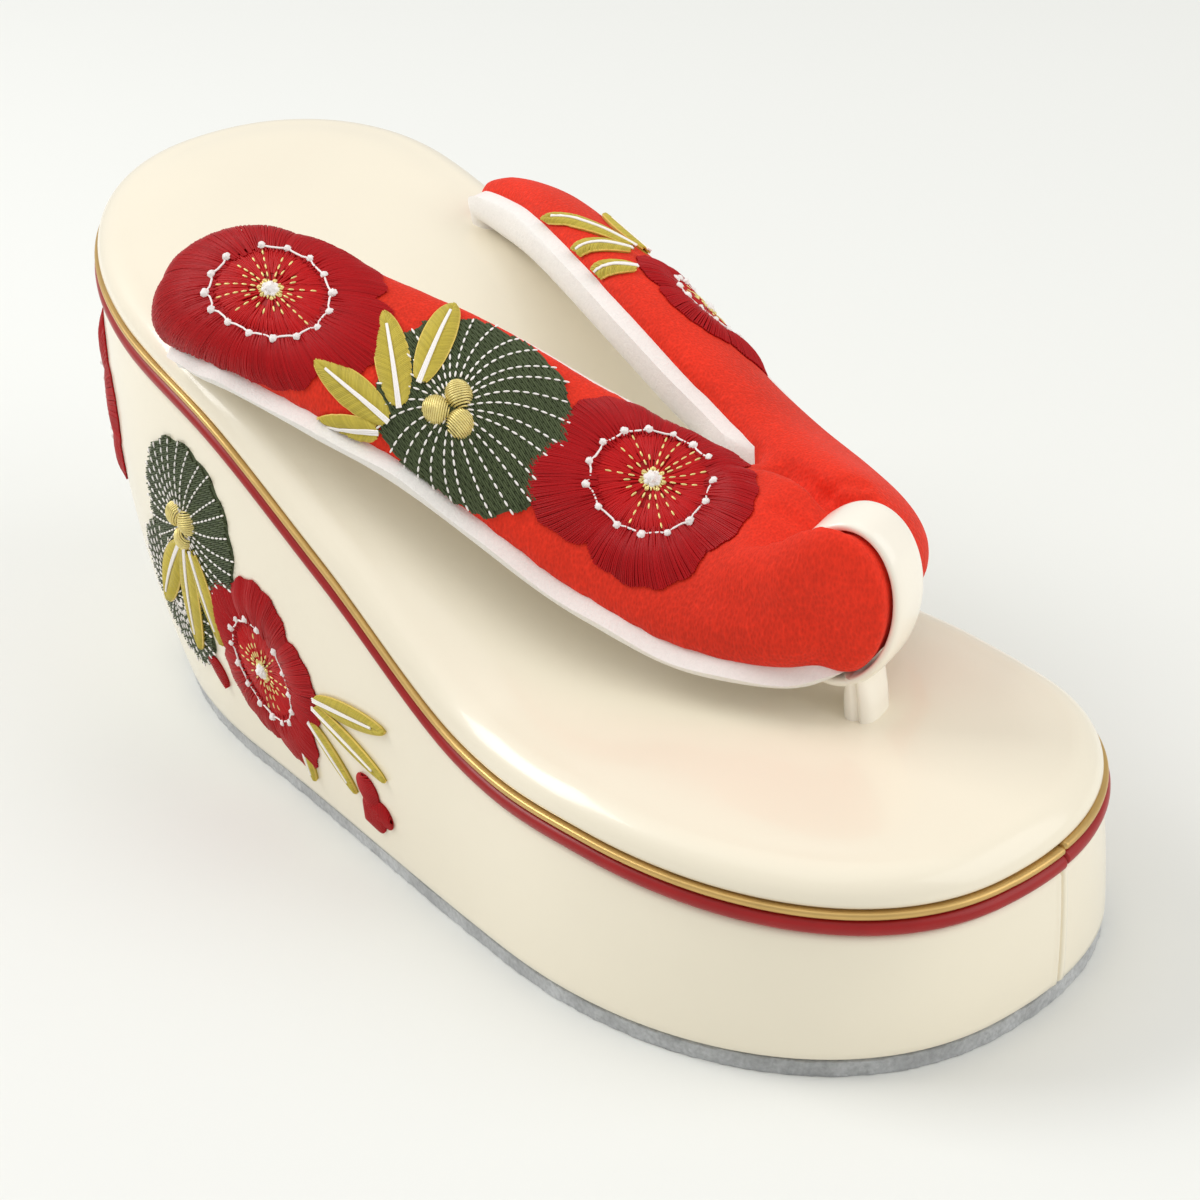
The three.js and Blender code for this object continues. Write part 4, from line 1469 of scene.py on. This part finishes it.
def sew_plum(work, hoop, radius, ring, gap_deg, lobe_turn, rear=0.0):
    """Plum blossom: radial satin petals in five lobes, a knotted white ring, gold stamens."""
    rng, patch = work.rng, hoop.patch

    def lobe(a):
        return abs(math.cos(2.5 * (a - lobe_turn))) ** LOBE_POWER

    def reach(a):
        scallop = 1 - LOBE_DEPTH + LOBE_DEPTH * lobe(a) + FRAYED * math.sin(23 * a)
        return radius * scallop * (1 + rear * max(0.0, -math.cos(a)))

    disc_bed(work, "petal", hoop, reach)
    for a in roughly_round(rng, int(2 * math.pi * radius * 0.92 / work.spacing), 0.25):
        near = ring * rng.uniform(0.86, 1.05)
        far = reach(a) + rng.uniform(-0.14, 0.08)
        rise = PETAL_RISE * (0.35 + 0.65 * lobe(a))
        line = []
        for t in shares(8):
            height = PETAL_LOW + rise * math.sin(math.pi * min(t + 0.06, 1)) ** 0.75
            line.append((*hoop.spot(mix(near, far, t), a), height))
        work.strand("petal", patch, line)
    for a in roughly_round(rng, int(2 * math.pi * ring * 0.9 / work.spacing), 0.25):
        near = ring * rng.choice((0.1, 0.38, 0.55, 0.38))
        far = ring * rng.uniform(0.93, 1.03)
        line = []
        for t in shares(5):
            height = HEART_LOW + HEART_RISE * math.sin(math.pi * t)
            line.append((*hoop.spot(mix(near, far, t), a), height))
        work.strand("heart", patch, line)

    step = 2 * math.pi / (RING_KNOTS + 0.35)
    line = []
    for k in range(RING_KNOTS):
        a = math.radians(gap_deg) + step * (k + 0.6)
        spot = hoop.spot(ring * (1.03 + rng.uniform(-0.02, 0.03)), a)
        line.append((*spot, 0.8))
        work.knot_at("white", patch, *spot, RING_HEIGHT, work.knot * rng.uniform(0.85, 1.15))
        if k < RING_KNOTS - 1:
            for share in (0.3, 0.7):
                line.append((*hoop.spot(ring * 0.985, a + step * share), RING_HEIGHT))
    work.strand("white", patch, line)

    for a in roughly_round(rng, STAMENS, 0.2):
        far = ring * rng.choice((0.42, 0.5, 0.72, 0.86))
        line = [(*hoop.spot(mix(ring * 0.16, far, t), a), STAMEN_HEIGHT) for t in shares(4)]
        work.run("gold", patch, line)
    work.knot_at("white", patch, hoop.u, hoop.v, 0.7, ring * 0.11)
    for a in circle(CENTRE_KNOTS):
        work.knot_at("white", patch, *hoop.spot(ring * 0.1, a), 0.5, work.knot * 0.9)
        work.knot_at("gold", patch, *hoop.spot(ring * 0.2, a + 0.4), 0.45, work.knot * 0.55)


# Pine disc: length of its fill stitches and the gap between them, its rays and its gold balls.
PINE_STITCH = 3.4
PINE_GAP = 0.15
PINE_ROWS_DEG = 25
RAY_FROM = 0.16
RAY_BOW = 0.1
RAY_HEIGHT = 0.66
BALLS = 3
BALL_SIZE = 0.135
BALL_APART = 1.15


def sew_pine(work, hoop, radius, focus=(0.0, 0.0), rays=28, knots=True):
    """Pine disc: dark fill stitches, white running-stitch rays and three gold satin knots."""
    rng, patch = work.rng, hoop.patch

    def reach(a):
        return radius * (0.95 + 0.05 * abs(math.cos(6.5 * a)))

    disc_bed(work, "pine", hoop, reach)
    row = work.spacing * 1.25
    turn = math.radians(PINE_ROWS_DEG)
    c, s = math.cos(turn), math.sin(turn)
    for i in range(int(2 * radius / row)):
        y = -radius + (i + 0.5) * row
        x = -radius - PINE_STITCH * ((i * 0.37) % 1)
        while x < radius:
            line = []
            for t in shares(3):
                p = x + (PINE_STITCH - PINE_GAP) * t
                if math.hypot(p, y) < reach(math.atan2(y, p) + turn) - 0.1:
                    height = 0.26 + 0.24 * math.sin(math.pi * t)
                    line.append((*hoop.flat(c * p - s * y, s * p + c * y), height))
            work.strand("pine", patch, line)
            x += PINE_STITCH

    fx, fy = focus
    for a in roughly_round(rng, rays, 0.15):
        far = reach(a) * rng.uniform(0.93, 1.0)
        ex, ey = far * math.cos(a), far * math.sin(a)
        bow = RAY_BOW * math.hypot(ex - fx, ey - fy) * math.sin(a - 0.6)
        line = []
        for share in shares(12):
            t = mix(RAY_FROM, 1.0, share)
            b = bow * math.sin(math.pi * t)
            x = mix(fx, ex, t) - b * math.sin(a)
            y = mix(fy, ey, t) + b * math.cos(a)
            line.append((*hoop.flat(x, y), RAY_HEIGHT))
        work.run("white", patch, line)
    if knots:
        size = radius * BALL_SIZE
        apart = size * BALL_APART
        for k in range(BALLS):
            a = 2 * math.pi * k / BALLS + 0.5
            sew_ball(work, hoop, fx + apart * math.cos(a), fy + apart * math.sin(a), size, a * 0.5)


def sew_ball(work, hoop, x, y, size, turn):
    """A small raised ball of gold satin stitches."""
    c, s = math.cos(turn), math.sin(turn)
    rows = max(int(2 * size / (work.spacing * 1.15)), 4)
    for i in range(rows):
        q = size * (2 * (i + 0.5) / rows - 1)
        half = math.sqrt(size * size - q * q)
        line = []
        for t in shares(8):
            p = half * (2 * t - 1)
            height = 0.3 + 0.8 * math.sqrt(max(size * size - p * p - q * q, 0.0))
            line.append((*hoop.flat(x + c * p - s * q, y + s * p + c * q), height))
        work.strand("gold", hoop.patch, line)


# Bamboo leaf: its bed as shares of the half width and heights, its rib and its edge threads.
LEAF_BED = ((-1, BED_FOOT), (-0.96, BED_HEIGHT), (0, BED_HEIGHT), (0.96, BED_HEIGHT), (1, BED_FOOT))
LEAF_BED_WIDTH = 0.98
LEAF_SLANT = 0.32
RIB_THREADS = (-0.34, 0.0, 0.34)
RIB_LENGTH = 0.84
RIB_HEIGHT = 1.0
EDGE_INSETS = (1.0, 0.93)


def sew_leaf(work, patch, root, tip, width, lift=0.0):
    """Bamboo leaf: slanted satin on both sides of a white rib, edged with straw thread."""
    root, tip = Vector(root), Vector(tip)
    run = tip - root
    side = Vector((-run.y, run.x)).normalized()

    def half(t):
        return width / 2 * math.sin(math.pi * min(max(t, 0.0), 1.0) ** 0.9) ** 0.55

    def at(t, across, height):
        p = root + run * t + side * across
        return (p.x, p.y, height + lift)

    rows = [[at(t, k * half(t) * LEAF_BED_WIDTH, height) for t in shares(20)] for k, height in LEAF_BED]
    work.bed("leaf", patch, rows)
    count = int(run.length / work.spacing)
    slant = width * LEAF_SLANT / run.length
    for i in range(1, count):
        near = max(i / count - slant * 0.5, 0.01)
        edge = min(i / count + slant * 0.5, 0.995)
        for sign in (-1, 1):
            line = []
            for t in shares(5):
                height = 0.3 + 0.6 * math.sin(math.pi * (0.12 + 0.8 * t))
                line.append(at(mix(near, edge, t), sign * half(edge) * t, height))
            work.strand("leaf", patch, line)
    for sign in (-1, 1):
        for inset in EDGE_INSETS:
            height = 0.45 + 0.4 * (1 - inset)
            work.strand("edge", patch, [at(t, sign * half(t) * inset, height) for t in shares(24)[1:]])
    for offset in RIB_THREADS:
        line = [at(RIB_LENGTH * t, offset * (1 - 0.8 * t), RIB_HEIGHT) for t in shares(16)]
        work.strand("white", patch, line)


def sew_bud(work, patch, centre, length, width, turn_deg):
    """A small red satin bud."""
    hoop = Hoop(patch, *centre, turn_deg)

    def reach(a):
        return 1 / math.hypot(math.cos(a) * 2 / length, math.sin(a) * 2 / width)

    disc_bed(work, "petal", hoop, reach)
    count = int(length / work.spacing)
    for i in range(count):
        x = length * ((i + 0.5) / count - 0.5)
        half = width / 2 * math.sqrt(1 - (2 * x / length) ** 2)
        line = []
        for t in shares(6):
            line.append((*hoop.flat(x, mix(-half, half, t)), 0.22 + 0.6 * math.sin(math.pi * t)))
        work.strand("petal", patch, line)


def line_mesh(name, lines):
    """A mesh of loose edges along lines, with each line's tone on its points."""
    verts, edges, tones = [], [], []
    for points, tone in lines:
        start = len(verts)
        verts += [tuple(float(c) * MM for c in p) for p in points]
        edges += [(start + i, start + i + 1) for i in range(len(points) - 1)]
        tones += [tone] * len(points)
    mesh = bpy.data.meshes.new(name)
    mesh.from_pydata(verts, edges, [])
    mesh.attributes.new("tone", "FLOAT", "POINT").data.foreach_set("value", tones)
    return mesh


def start_tree(name, sizes):
    """A geometry tree with a geometry input, named float inputs and a material input."""
    tree = bpy.data.node_groups.new(name, "GeometryNodeTree")
    face = tree.interface
    face.new_socket("Geometry", in_out="INPUT", socket_type="NodeSocketGeometry")
    for size in sizes:
        face.new_socket(size, in_out="INPUT", socket_type="NodeSocketFloat")
    face.new_socket("Material", in_out="INPUT", socket_type="NodeSocketMaterial")
    face.new_socket("Geometry", in_out="OUTPUT", socket_type="NodeSocketGeometry")
    return tree, add_node(tree, "NodeGroupInput").outputs


def end_tree(tree, given, shape):
    """Ends a tree: smooth shading, real geometry, and the material."""
    smooth = add_node(tree, "GeometryNodeSetShadeSmooth", {"Geometry": shape})
    real = add_node(tree, "GeometryNodeRealizeInstances", {"Geometry": smooth.outputs["Geometry"]})
    dyed = add_node(tree, "GeometryNodeSetMaterial", {
        "Geometry": real.outputs["Geometry"], "Material": given["Material"]})
    add_node(tree, "NodeGroupOutput", {"Geometry": dyed.outputs["Geometry"]})
    return tree


def thread_tree():
    """Round threads along every line."""
    tree, given = start_tree("satin_threads", ["Width"])
    curve = add_node(tree, "GeometryNodeMeshToCurve", {"Mesh": given["Geometry"]})
    radius = add_node(tree, "ShaderNodeMath", {0: given["Width"], 1: 0.5}, operation="MULTIPLY")
    round_ = add_node(tree, "GeometryNodeCurvePrimitiveCircle", {
        "Resolution": 6, "Radius": radius.outputs["Value"]})
    tube = add_node(tree, "GeometryNodeCurveToMesh", {
        "Curve": curve.outputs["Curve"], "Profile Curve": round_.outputs["Curve"], "Fill Caps": True})
    return end_tree(tree, given, tube.outputs["Mesh"])


def stitch_tree():
    """Running stitches: short grains of thread set end to end along every line."""
    tree, given = start_tree("running_stitches", ["Width", "Length", "Gap"])
    curve = add_node(tree, "GeometryNodeMeshToCurve", {"Mesh": given["Geometry"]})
    pitch = add_node(tree, "ShaderNodeMath", {0: given["Length"], 1: given["Gap"]}, operation="ADD")
    points = add_node(tree, "GeometryNodeCurveToPoints", {
        "Curve": curve.outputs["Curve"], "Length": pitch.outputs["Value"]}, mode="LENGTH")
    grain = add_node(tree, "GeometryNodeMeshUVSphere", {"Segments": 8, "Rings": 6, "Radius": 0.5})
    size = add_node(tree, "ShaderNodeCombineXYZ", {
        "X": given["Width"], "Y": given["Width"], "Z": given["Length"]})
    placed = add_node(tree, "GeometryNodeInstanceOnPoints", {
        "Points": points.outputs["Points"], "Instance": grain.outputs["Mesh"],
        "Rotation": points.outputs["Rotation"], "Scale": size.outputs["Vector"]})
    return end_tree(tree, given, placed.outputs["Instances"])


def knot_tree():
    """Knots: a lumpy bead on every point, sized by the point and turned at random."""
    tree, given = start_tree("thread_knots", ["Size"])
    bead = add_node(tree, "GeometryNodeMeshIcoSphere", {"Subdivisions": 3, "Radius": 1.0})
    coil = add_node(tree, "ShaderNodeTexNoise", {"Scale": 2.2, "Detail": 1})
    push = add_node(tree, "ShaderNodeMath", {0: coil.outputs["Fac"], 1: 0.5}, operation="SUBTRACT")
    normal = add_node(tree, "GeometryNodeInputNormal")
    bump = add_node(tree, "ShaderNodeVectorMath", {
        0: normal.outputs["Normal"], "Scale": push.outputs["Value"]}, operation="SCALE")
    lumpy = add_node(tree, "GeometryNodeSetPosition", {
        "Geometry": bead.outputs["Mesh"], "Offset": bump.outputs["Vector"]})
    turn = add_node(tree, "FunctionNodeRandomValue", {"Seed": SEED}, data_type="FLOAT_VECTOR")
    turn.inputs["Max"].default_value = (6.28, 6.28, 6.28)
    size = add_node(tree, "GeometryNodeInputNamedAttribute", {"Name": "size"}, data_type="FLOAT")
    scale = add_node(tree, "ShaderNodeMath", {
        0: size.outputs["Attribute"], 1: given["Size"]}, operation="MULTIPLY")
    placed = add_node(tree, "GeometryNodeInstanceOnPoints", {
        "Points": given["Geometry"], "Instance": lumpy.outputs["Geometry"],
        "Rotation": turn.outputs["Value"], "Scale": scale.outputs["Value"]})
    return end_tree(tree, given, placed.outputs["Instances"])


def through_nodes(name, mesh, tree, values):
    """Runs a mesh through a geometry tree and returns the outcome as a plain mesh."""
    holder = bpy.data.objects.new(name, mesh)
    bpy.context.scene.collection.objects.link(holder)
    modifier = holder.modifiers.new("Needlework", "NODES")
    modifier.node_group = tree
    for item in tree.interface.items_tree:
        if item.in_out == "INPUT" and item.name in values:
            modifier[item.identifier] = values[item.name]
    made = evaluated_copy(holder, name)
    bpy.data.objects.remove(holder)
    return made


# Each thread's material, and how far its strands differ in tone; the gold one is wrapped foil.
THREADS = {
    "petal": ("rayon_thread_crimson", 0.13),
    "heart": ("rayon_thread_scarlet", 0.12),
    "pine": ("rayon_thread_pine", 0.16),
    "leaf": ("rayon_thread_bamboo", 0.12),
    "edge": ("rayon_thread_straw", 0.12),
    "white": ("rayon_thread_white", 0.04),
    "gold": ("gold_wrapped_thread", None),
}
THREAD_SHARP_DEG = 70


def thread_material(thread, settings):
    """A thread's material, made once and shared by both embroidered areas."""
    name, contrast = THREADS[thread]
    material = bpy.data.materials.get(name)
    if material is not None:
        return material
    colour = getattr(settings, f"{thread}_colour")
    if contrast is None:
        return gold_thread(name, colour)
    return rayon_thread(name, colour, contrast)


def knot_mesh(name, knots):
    """A mesh of loose points, with each knot's size on its point."""
    mesh = bpy.data.meshes.new(name)
    mesh.from_pydata([tuple(p * MM) for p, _ in knots], [], [])
    sizes = mesh.attributes.new("size", "FLOAT", "POINT")
    sizes.data.foreach_set("value", [size * MM for _, size in knots])
    return mesh


def finish_needlework(work, area, settings):
    """Turns the collected needlework of an area into one piece for each thread."""
    steps = (
        ("strands", work.strands, line_mesh, thread_tree()),
        ("runs", work.runs, line_mesh, stitch_tree()),
        ("knots", work.knots, knot_mesh, knot_tree()),
    )
    for thread in THREADS:
        material = thread_material(thread, settings)
        values = {
            "Width": settings.thread_width, "Length": settings.stitch_length,
            "Gap": settings.stitch_gap, "Size": 1.0, "Material": material}
        made = []
        for name, sewn, start_mesh, tree in steps:
            if thread in sewn:
                made.append(through_nodes(name, start_mesh(name, sewn[thread]), tree, values))
        if thread in work.beds:
            made.append(make_mesh("bed", *work.beds[thread]))
        if not made:
            continue
        bm = bmesh.new()
        for mesh in made:
            bm.from_mesh(mesh)
        whole = bpy.data.meshes.new(f"{area}_{thread}_thread")
        bm.to_mesh(whole)
        bm.free()
        for polygon in whole.polygons:
            polygon.material_index = 0
        add_piece(f"{area}_{thread}_thread", whole, material, sharp_deg=THREAD_SHARP_DEG)


class ZORI_OT_strap_embroidery(bpy.types.Operator):
    """Plum, bamboo and pine worked on the straps"""
    bl_idname = "zori.strap_embroidery"
    bl_label = "Strap embroidery"

    # The patch goes over each section from its high inner edge to its low outer edge.
    STEPS = 120
    SIDES = 60
    MIDDLE = 31
    FROM_DEG = 2
    TO_DEG = 173
    # Leaves: root and tip along and across the strap, width, and lift.
    OUTER_LEAVES = (
        ((61.5, 14.5), (46.3, 20.2), 5.6, 0.0),
        ((62.7, 12.0), (45.3, 7.4), 6.2, 0.0),
        ((63.6, 9.0), (53.8, -6.2), 6.2, 0.0),
        ((65.0, 3.6), (63.6, -15.0), 5.4, 0.3),
    )
    INNER_LEAVES = (
        ((50.6, 0.5), (34.3, -11.1), 4.6, 0.0),
        ((52.4, -1.5), (48.1, -16.6), 4.6, 0.0),
        ((59.6, -5.0), (56.6, -17.0), 4.4, 0.0),
        ((50.0, 4.0), (35.0, 4.0), 4.6, 0.0),
    )

    def execute(self, context):
        sole, settings = context.scene.zori_sole, context.scene.zori_embroidery
        surface = surface_of(bpy.data.objects["strap_cover_crepe"].data)
        angles = [math.radians(mix(self.FROM_DEG, self.TO_DEG, t)) for t in shares(self.SIDES)]
        patches = {}
        for name, (rows, side) in ARMS.items():
            arm = Arm(sole, rows, side, self.STEPS)
            grid = [[arm.point(s, a) for a in angles] for s in arm.frames]
            patches[name] = Patch(grid, self.MIDDLE, self.MIDDLE, -side, surface)
        outer, inner = patches["outer"], patches["inner"]
        work = Needlework(settings)

        rear = Hoop(outer, u=32.4, v=-0.7, turn_deg=-8, stretch=1.2)
        sew_plum(work, rear, radius=21.5, ring=10.2, gap_deg=235, lobe_turn=0.3, rear=0.35)
        sew_pine(work, Hoop(outer, u=75.5, v=2.5), radius=18.5, focus=(-3.4, 2.0))
        for leaf in self.OUTER_LEAVES:
            sew_leaf(work, outer, *leaf)
        front = Hoop(outer, u=109.3, v=-5.8, turn_deg=-35, stretch=1.18)
        sew_plum(work, front, radius=20.5, ring=10.6, gap_deg=0, lobe_turn=0.55)

        middle = Hoop(inner, u=66.0, v=7.0, stretch=1.12)
        sew_plum(work, middle, radius=14.0, ring=6.6, gap_deg=120, lobe_turn=0.2)
        for leaf in self.INNER_LEAVES:
            sew_leaf(work, inner, *leaf)
        finish_needlework(work, "strap", settings)
        return {"FINISHED"}


class ZORI_OT_wall_embroidery(bpy.types.Operator):
    """Plum, bamboo and pine worked on the wall's outer side and heel"""
    bl_idname = "zori.wall_embroidery"
    bl_label = "Wall embroidery"

    # The patch goes round the heel from the inner side, then along the outer side to the toe.
    HEEL_STEPS = 40
    SIDE_STEPS = 160
    HEEL_FROM = 0.8
    TOE_END = 0.2
    HEIGHT_STEPS = 40
    GAUGE = 20
    # Leaves: root and tip along and up the wall, width, and lift.
    REAR_LEAVES = (
        ((101, 44), (94, 20), 7.0, 0.5),
        ((99, 44), (81, 25), 6.4, 0.5),
        ((103, 44), (107, 26), 5.6, 0.4),
    )
    FRONT_LEAVES = (
        ((141, 28), (163.5, 29.8), 4.2, 0.0),
        ((140, 26), (161.6, 19.4), 3.8, 0.0),
        ((137, 22), (148.3, 11.8), 3.6, 0.0),
        ((130, 16), (129.0, 6.3), 3.2, 0.0),
    )
    # Buds: centre, length, width, and turn in degrees.
    REAR_BUD = ((98.2, 16.6), 6.4, 5.6, -60)
    FRONT_BUDS = (
        ((153.2, 14.2), 6.6, 7.2, 90),
        ((157.2, 10.8), 5.8, 5.0, 0),
        ((153.0, 9.4), 7.6, 7.0, 30),
    )

    def execute(self, context):
        sole, settings = context.scene.zori_sole, context.scene.zori_embroidery
        heel = [(mix(self.HEEL_FROM, 1.0, t), INNER_HALF) for t in shares(self.HEEL_STEPS)[:-1]]
        side = [(mix(1.0, self.TOE_END, t), OUTER_HALF) for t in shares(self.SIDE_STEPS)]
        grid = []
        for f, half in heel + side:
            grid.append([np.array(wall_point(sole, f, half, t)) for t in shares(self.HEIGHT_STEPS)])
        patch = Patch(grid, 0, self.GAUGE, 1)
        patch.u -= patch.u[len(heel)]
        work = Needlework(settings)

        sew_plum(work, Hoop(patch, u=48, v=54), radius=17, ring=8.5, gap_deg=200, lobe_turn=0.2)
        sew_pine(work, Hoop(patch, u=88, v=29), radius=14.5, rays=24, knots=False)
        sew_pine(work, Hoop(patch, u=101, v=48), radius=17.5, focus=(-1.0, 0.0))
        for leaf in self.REAR_LEAVES:
            sew_leaf(work, patch, *leaf)
        sew_bud(work, patch, *self.REAR_BUD)
        for leaf in self.FRONT_LEAVES:
            sew_leaf(work, patch, *leaf)
        sew_plum(work, Hoop(patch, u=122, v=26.5), radius=19, ring=9.8, gap_deg=60, lobe_turn=0.1)
        for bud in self.FRONT_BUDS:
            sew_bud(work, patch, *bud)
        finish_needlework(work, "wall", settings)
        return {"FINISHED"}


class ZORI_OT_stage(bpy.types.Operator):
    """Pale floor, soft light and the camera"""
    bl_idname = "zori.stage"
    bl_label = "Stage"

    CAMERA_MM = (-256.3, -404.0, 300.9)
    CAMERA_RIGHT = (0.7973, -0.6000, -0.0656)
    CAMERA_BACK = (-0.5044, -0.7220, 0.4736)
    AIM_RIGHT = -0.0175
    AIM_UP = -0.0175
    CLIP_START = 0.01
    FLOOR_SIZE = 6.0
    SKY_COLOUR = (1.0, 0.995, 0.985, 1)
    # Square soft lights: place and size in metres, and share of the key light's power.
    LIGHTS = {
        "key_window": ((-0.5, 0.62, 0.85), 0.55, 1.0),
        "front_fill": ((0.65, -0.95, 0.7), 1.2, 1.1),
        "overhead": ((0.0, 0.0, 1.3), 1.2, 0.4),
    }
    LIGHT_AIM = (0, 0, 0.05)

    def execute(self, context):
        stage = context.scene.zori_stage
        half = self.FLOOR_SIZE / 2
        corners = [(-half, -half, 0), (half, -half, 0), (half, half, 0), (-half, half, 0)]
        mesh = bpy.data.meshes.new("floor")
        mesh.from_pydata(corners, [], [(0, 1, 2, 3)])
        mesh.materials.append(pale_floor(stage.floor_colour))
        floor = bpy.data.objects.new("floor", mesh)
        context.scene.collection.objects.link(floor)

        world = bpy.data.worlds.new("even_sky")
        world.use_nodes = True
        sky = world.node_tree.nodes["Background"]
        sky.inputs["Color"].default_value = self.SKY_COLOUR
        sky.inputs["Strength"].default_value = stage.sky
        context.scene.world = world
        context.scene.view_settings.view_transform = "Standard"

        for name, (place, size, share) in self.LIGHTS.items():
            self.light(name, place, size, stage.key * share)

        right, back = Vector(self.CAMERA_RIGHT), Vector(self.CAMERA_BACK)
        up = back.cross(right)
        back = (back - right * self.AIM_RIGHT - up * self.AIM_UP).normalized()
        right = (right - back * right.dot(back)).normalized()
        up = back.cross(right)
        data = bpy.data.cameras.new("camera")
        data.lens = stage.lens
        data.clip_start = self.CLIP_START
        camera = bpy.data.objects.new("camera", data)
        turn = Matrix((right, up, back)).transposed().to_4x4()
        camera.matrix_world = Matrix.Translation(Vector(self.CAMERA_MM) * MM) @ turn
        context.scene.collection.objects.link(camera)
        context.scene.camera = camera
        return {"FINISHED"}

    def light(self, name, place, size, power):
        """A square soft light that faces the sandal's middle."""
        data = bpy.data.lights.new(name, "AREA")
        data.size = size
        data.energy = power
        lamp = bpy.data.objects.new(name, data)
        lamp.location = place
        aim = Vector(self.LIGHT_AIM) - Vector(place)
        lamp.rotation_euler = aim.to_track_quat("-Z", "Y").to_euler()
        bpy.context.scene.collection.objects.link(lamp)


class ZORI_PT_panel(bpy.types.Panel):
    """Lists the sandal's settings and its pieces"""
    bl_idname = "ZORI_PT_panel"
    bl_label = "Zori sandal"
    bl_space_type = "VIEW_3D"
    bl_region_type = "UI"
    bl_category = "Zori"

    def draw(self, context):
        for name in GROUPS:
            box = self.layout.box()
            settings = getattr(context.scene, name)
            for key in settings.__annotations__:
                box.prop(settings, key)
        for operator in OPERATORS:
            self.layout.operator(operator.bl_idname)


GROUPS = {
    "zori_sole": ZoriSole,
    "zori_straps": ZoriStraps,
    "zori_embroidery": ZoriEmbroidery,
    "zori_stage": ZoriStage,
}
OPERATORS = (
    ZORI_OT_outsole, ZORI_OT_wall, ZORI_OT_edge_trims, ZORI_OT_cushion, ZORI_OT_straps,
    ZORI_OT_lining, ZORI_OT_toe_post, ZORI_OT_strap_embroidery, ZORI_OT_wall_embroidery, ZORI_OT_stage,
)


def register():
    for group in GROUPS.values():
        bpy.utils.register_class(group)
    for operator in OPERATORS:
        bpy.utils.register_class(operator)
    bpy.utils.register_class(ZORI_PT_panel)
    for name, group in GROUPS.items():
        setattr(bpy.types.Scene, name, bpy.props.PointerProperty(type=group))


def unregister():
    for name in GROUPS:
        delattr(bpy.types.Scene, name)
    bpy.utils.unregister_class(ZORI_PT_panel)
    for operator in reversed(OPERATORS):
        bpy.utils.unregister_class(operator)
    for group in reversed(GROUPS.values()):
        bpy.utils.unregister_class(group)


def main():
    register()
    for operator in OPERATORS:
        family, action = operator.bl_idname.split(".")
        getattr(getattr(bpy.ops, family), action)()


if __name__ == "__main__":
    main()
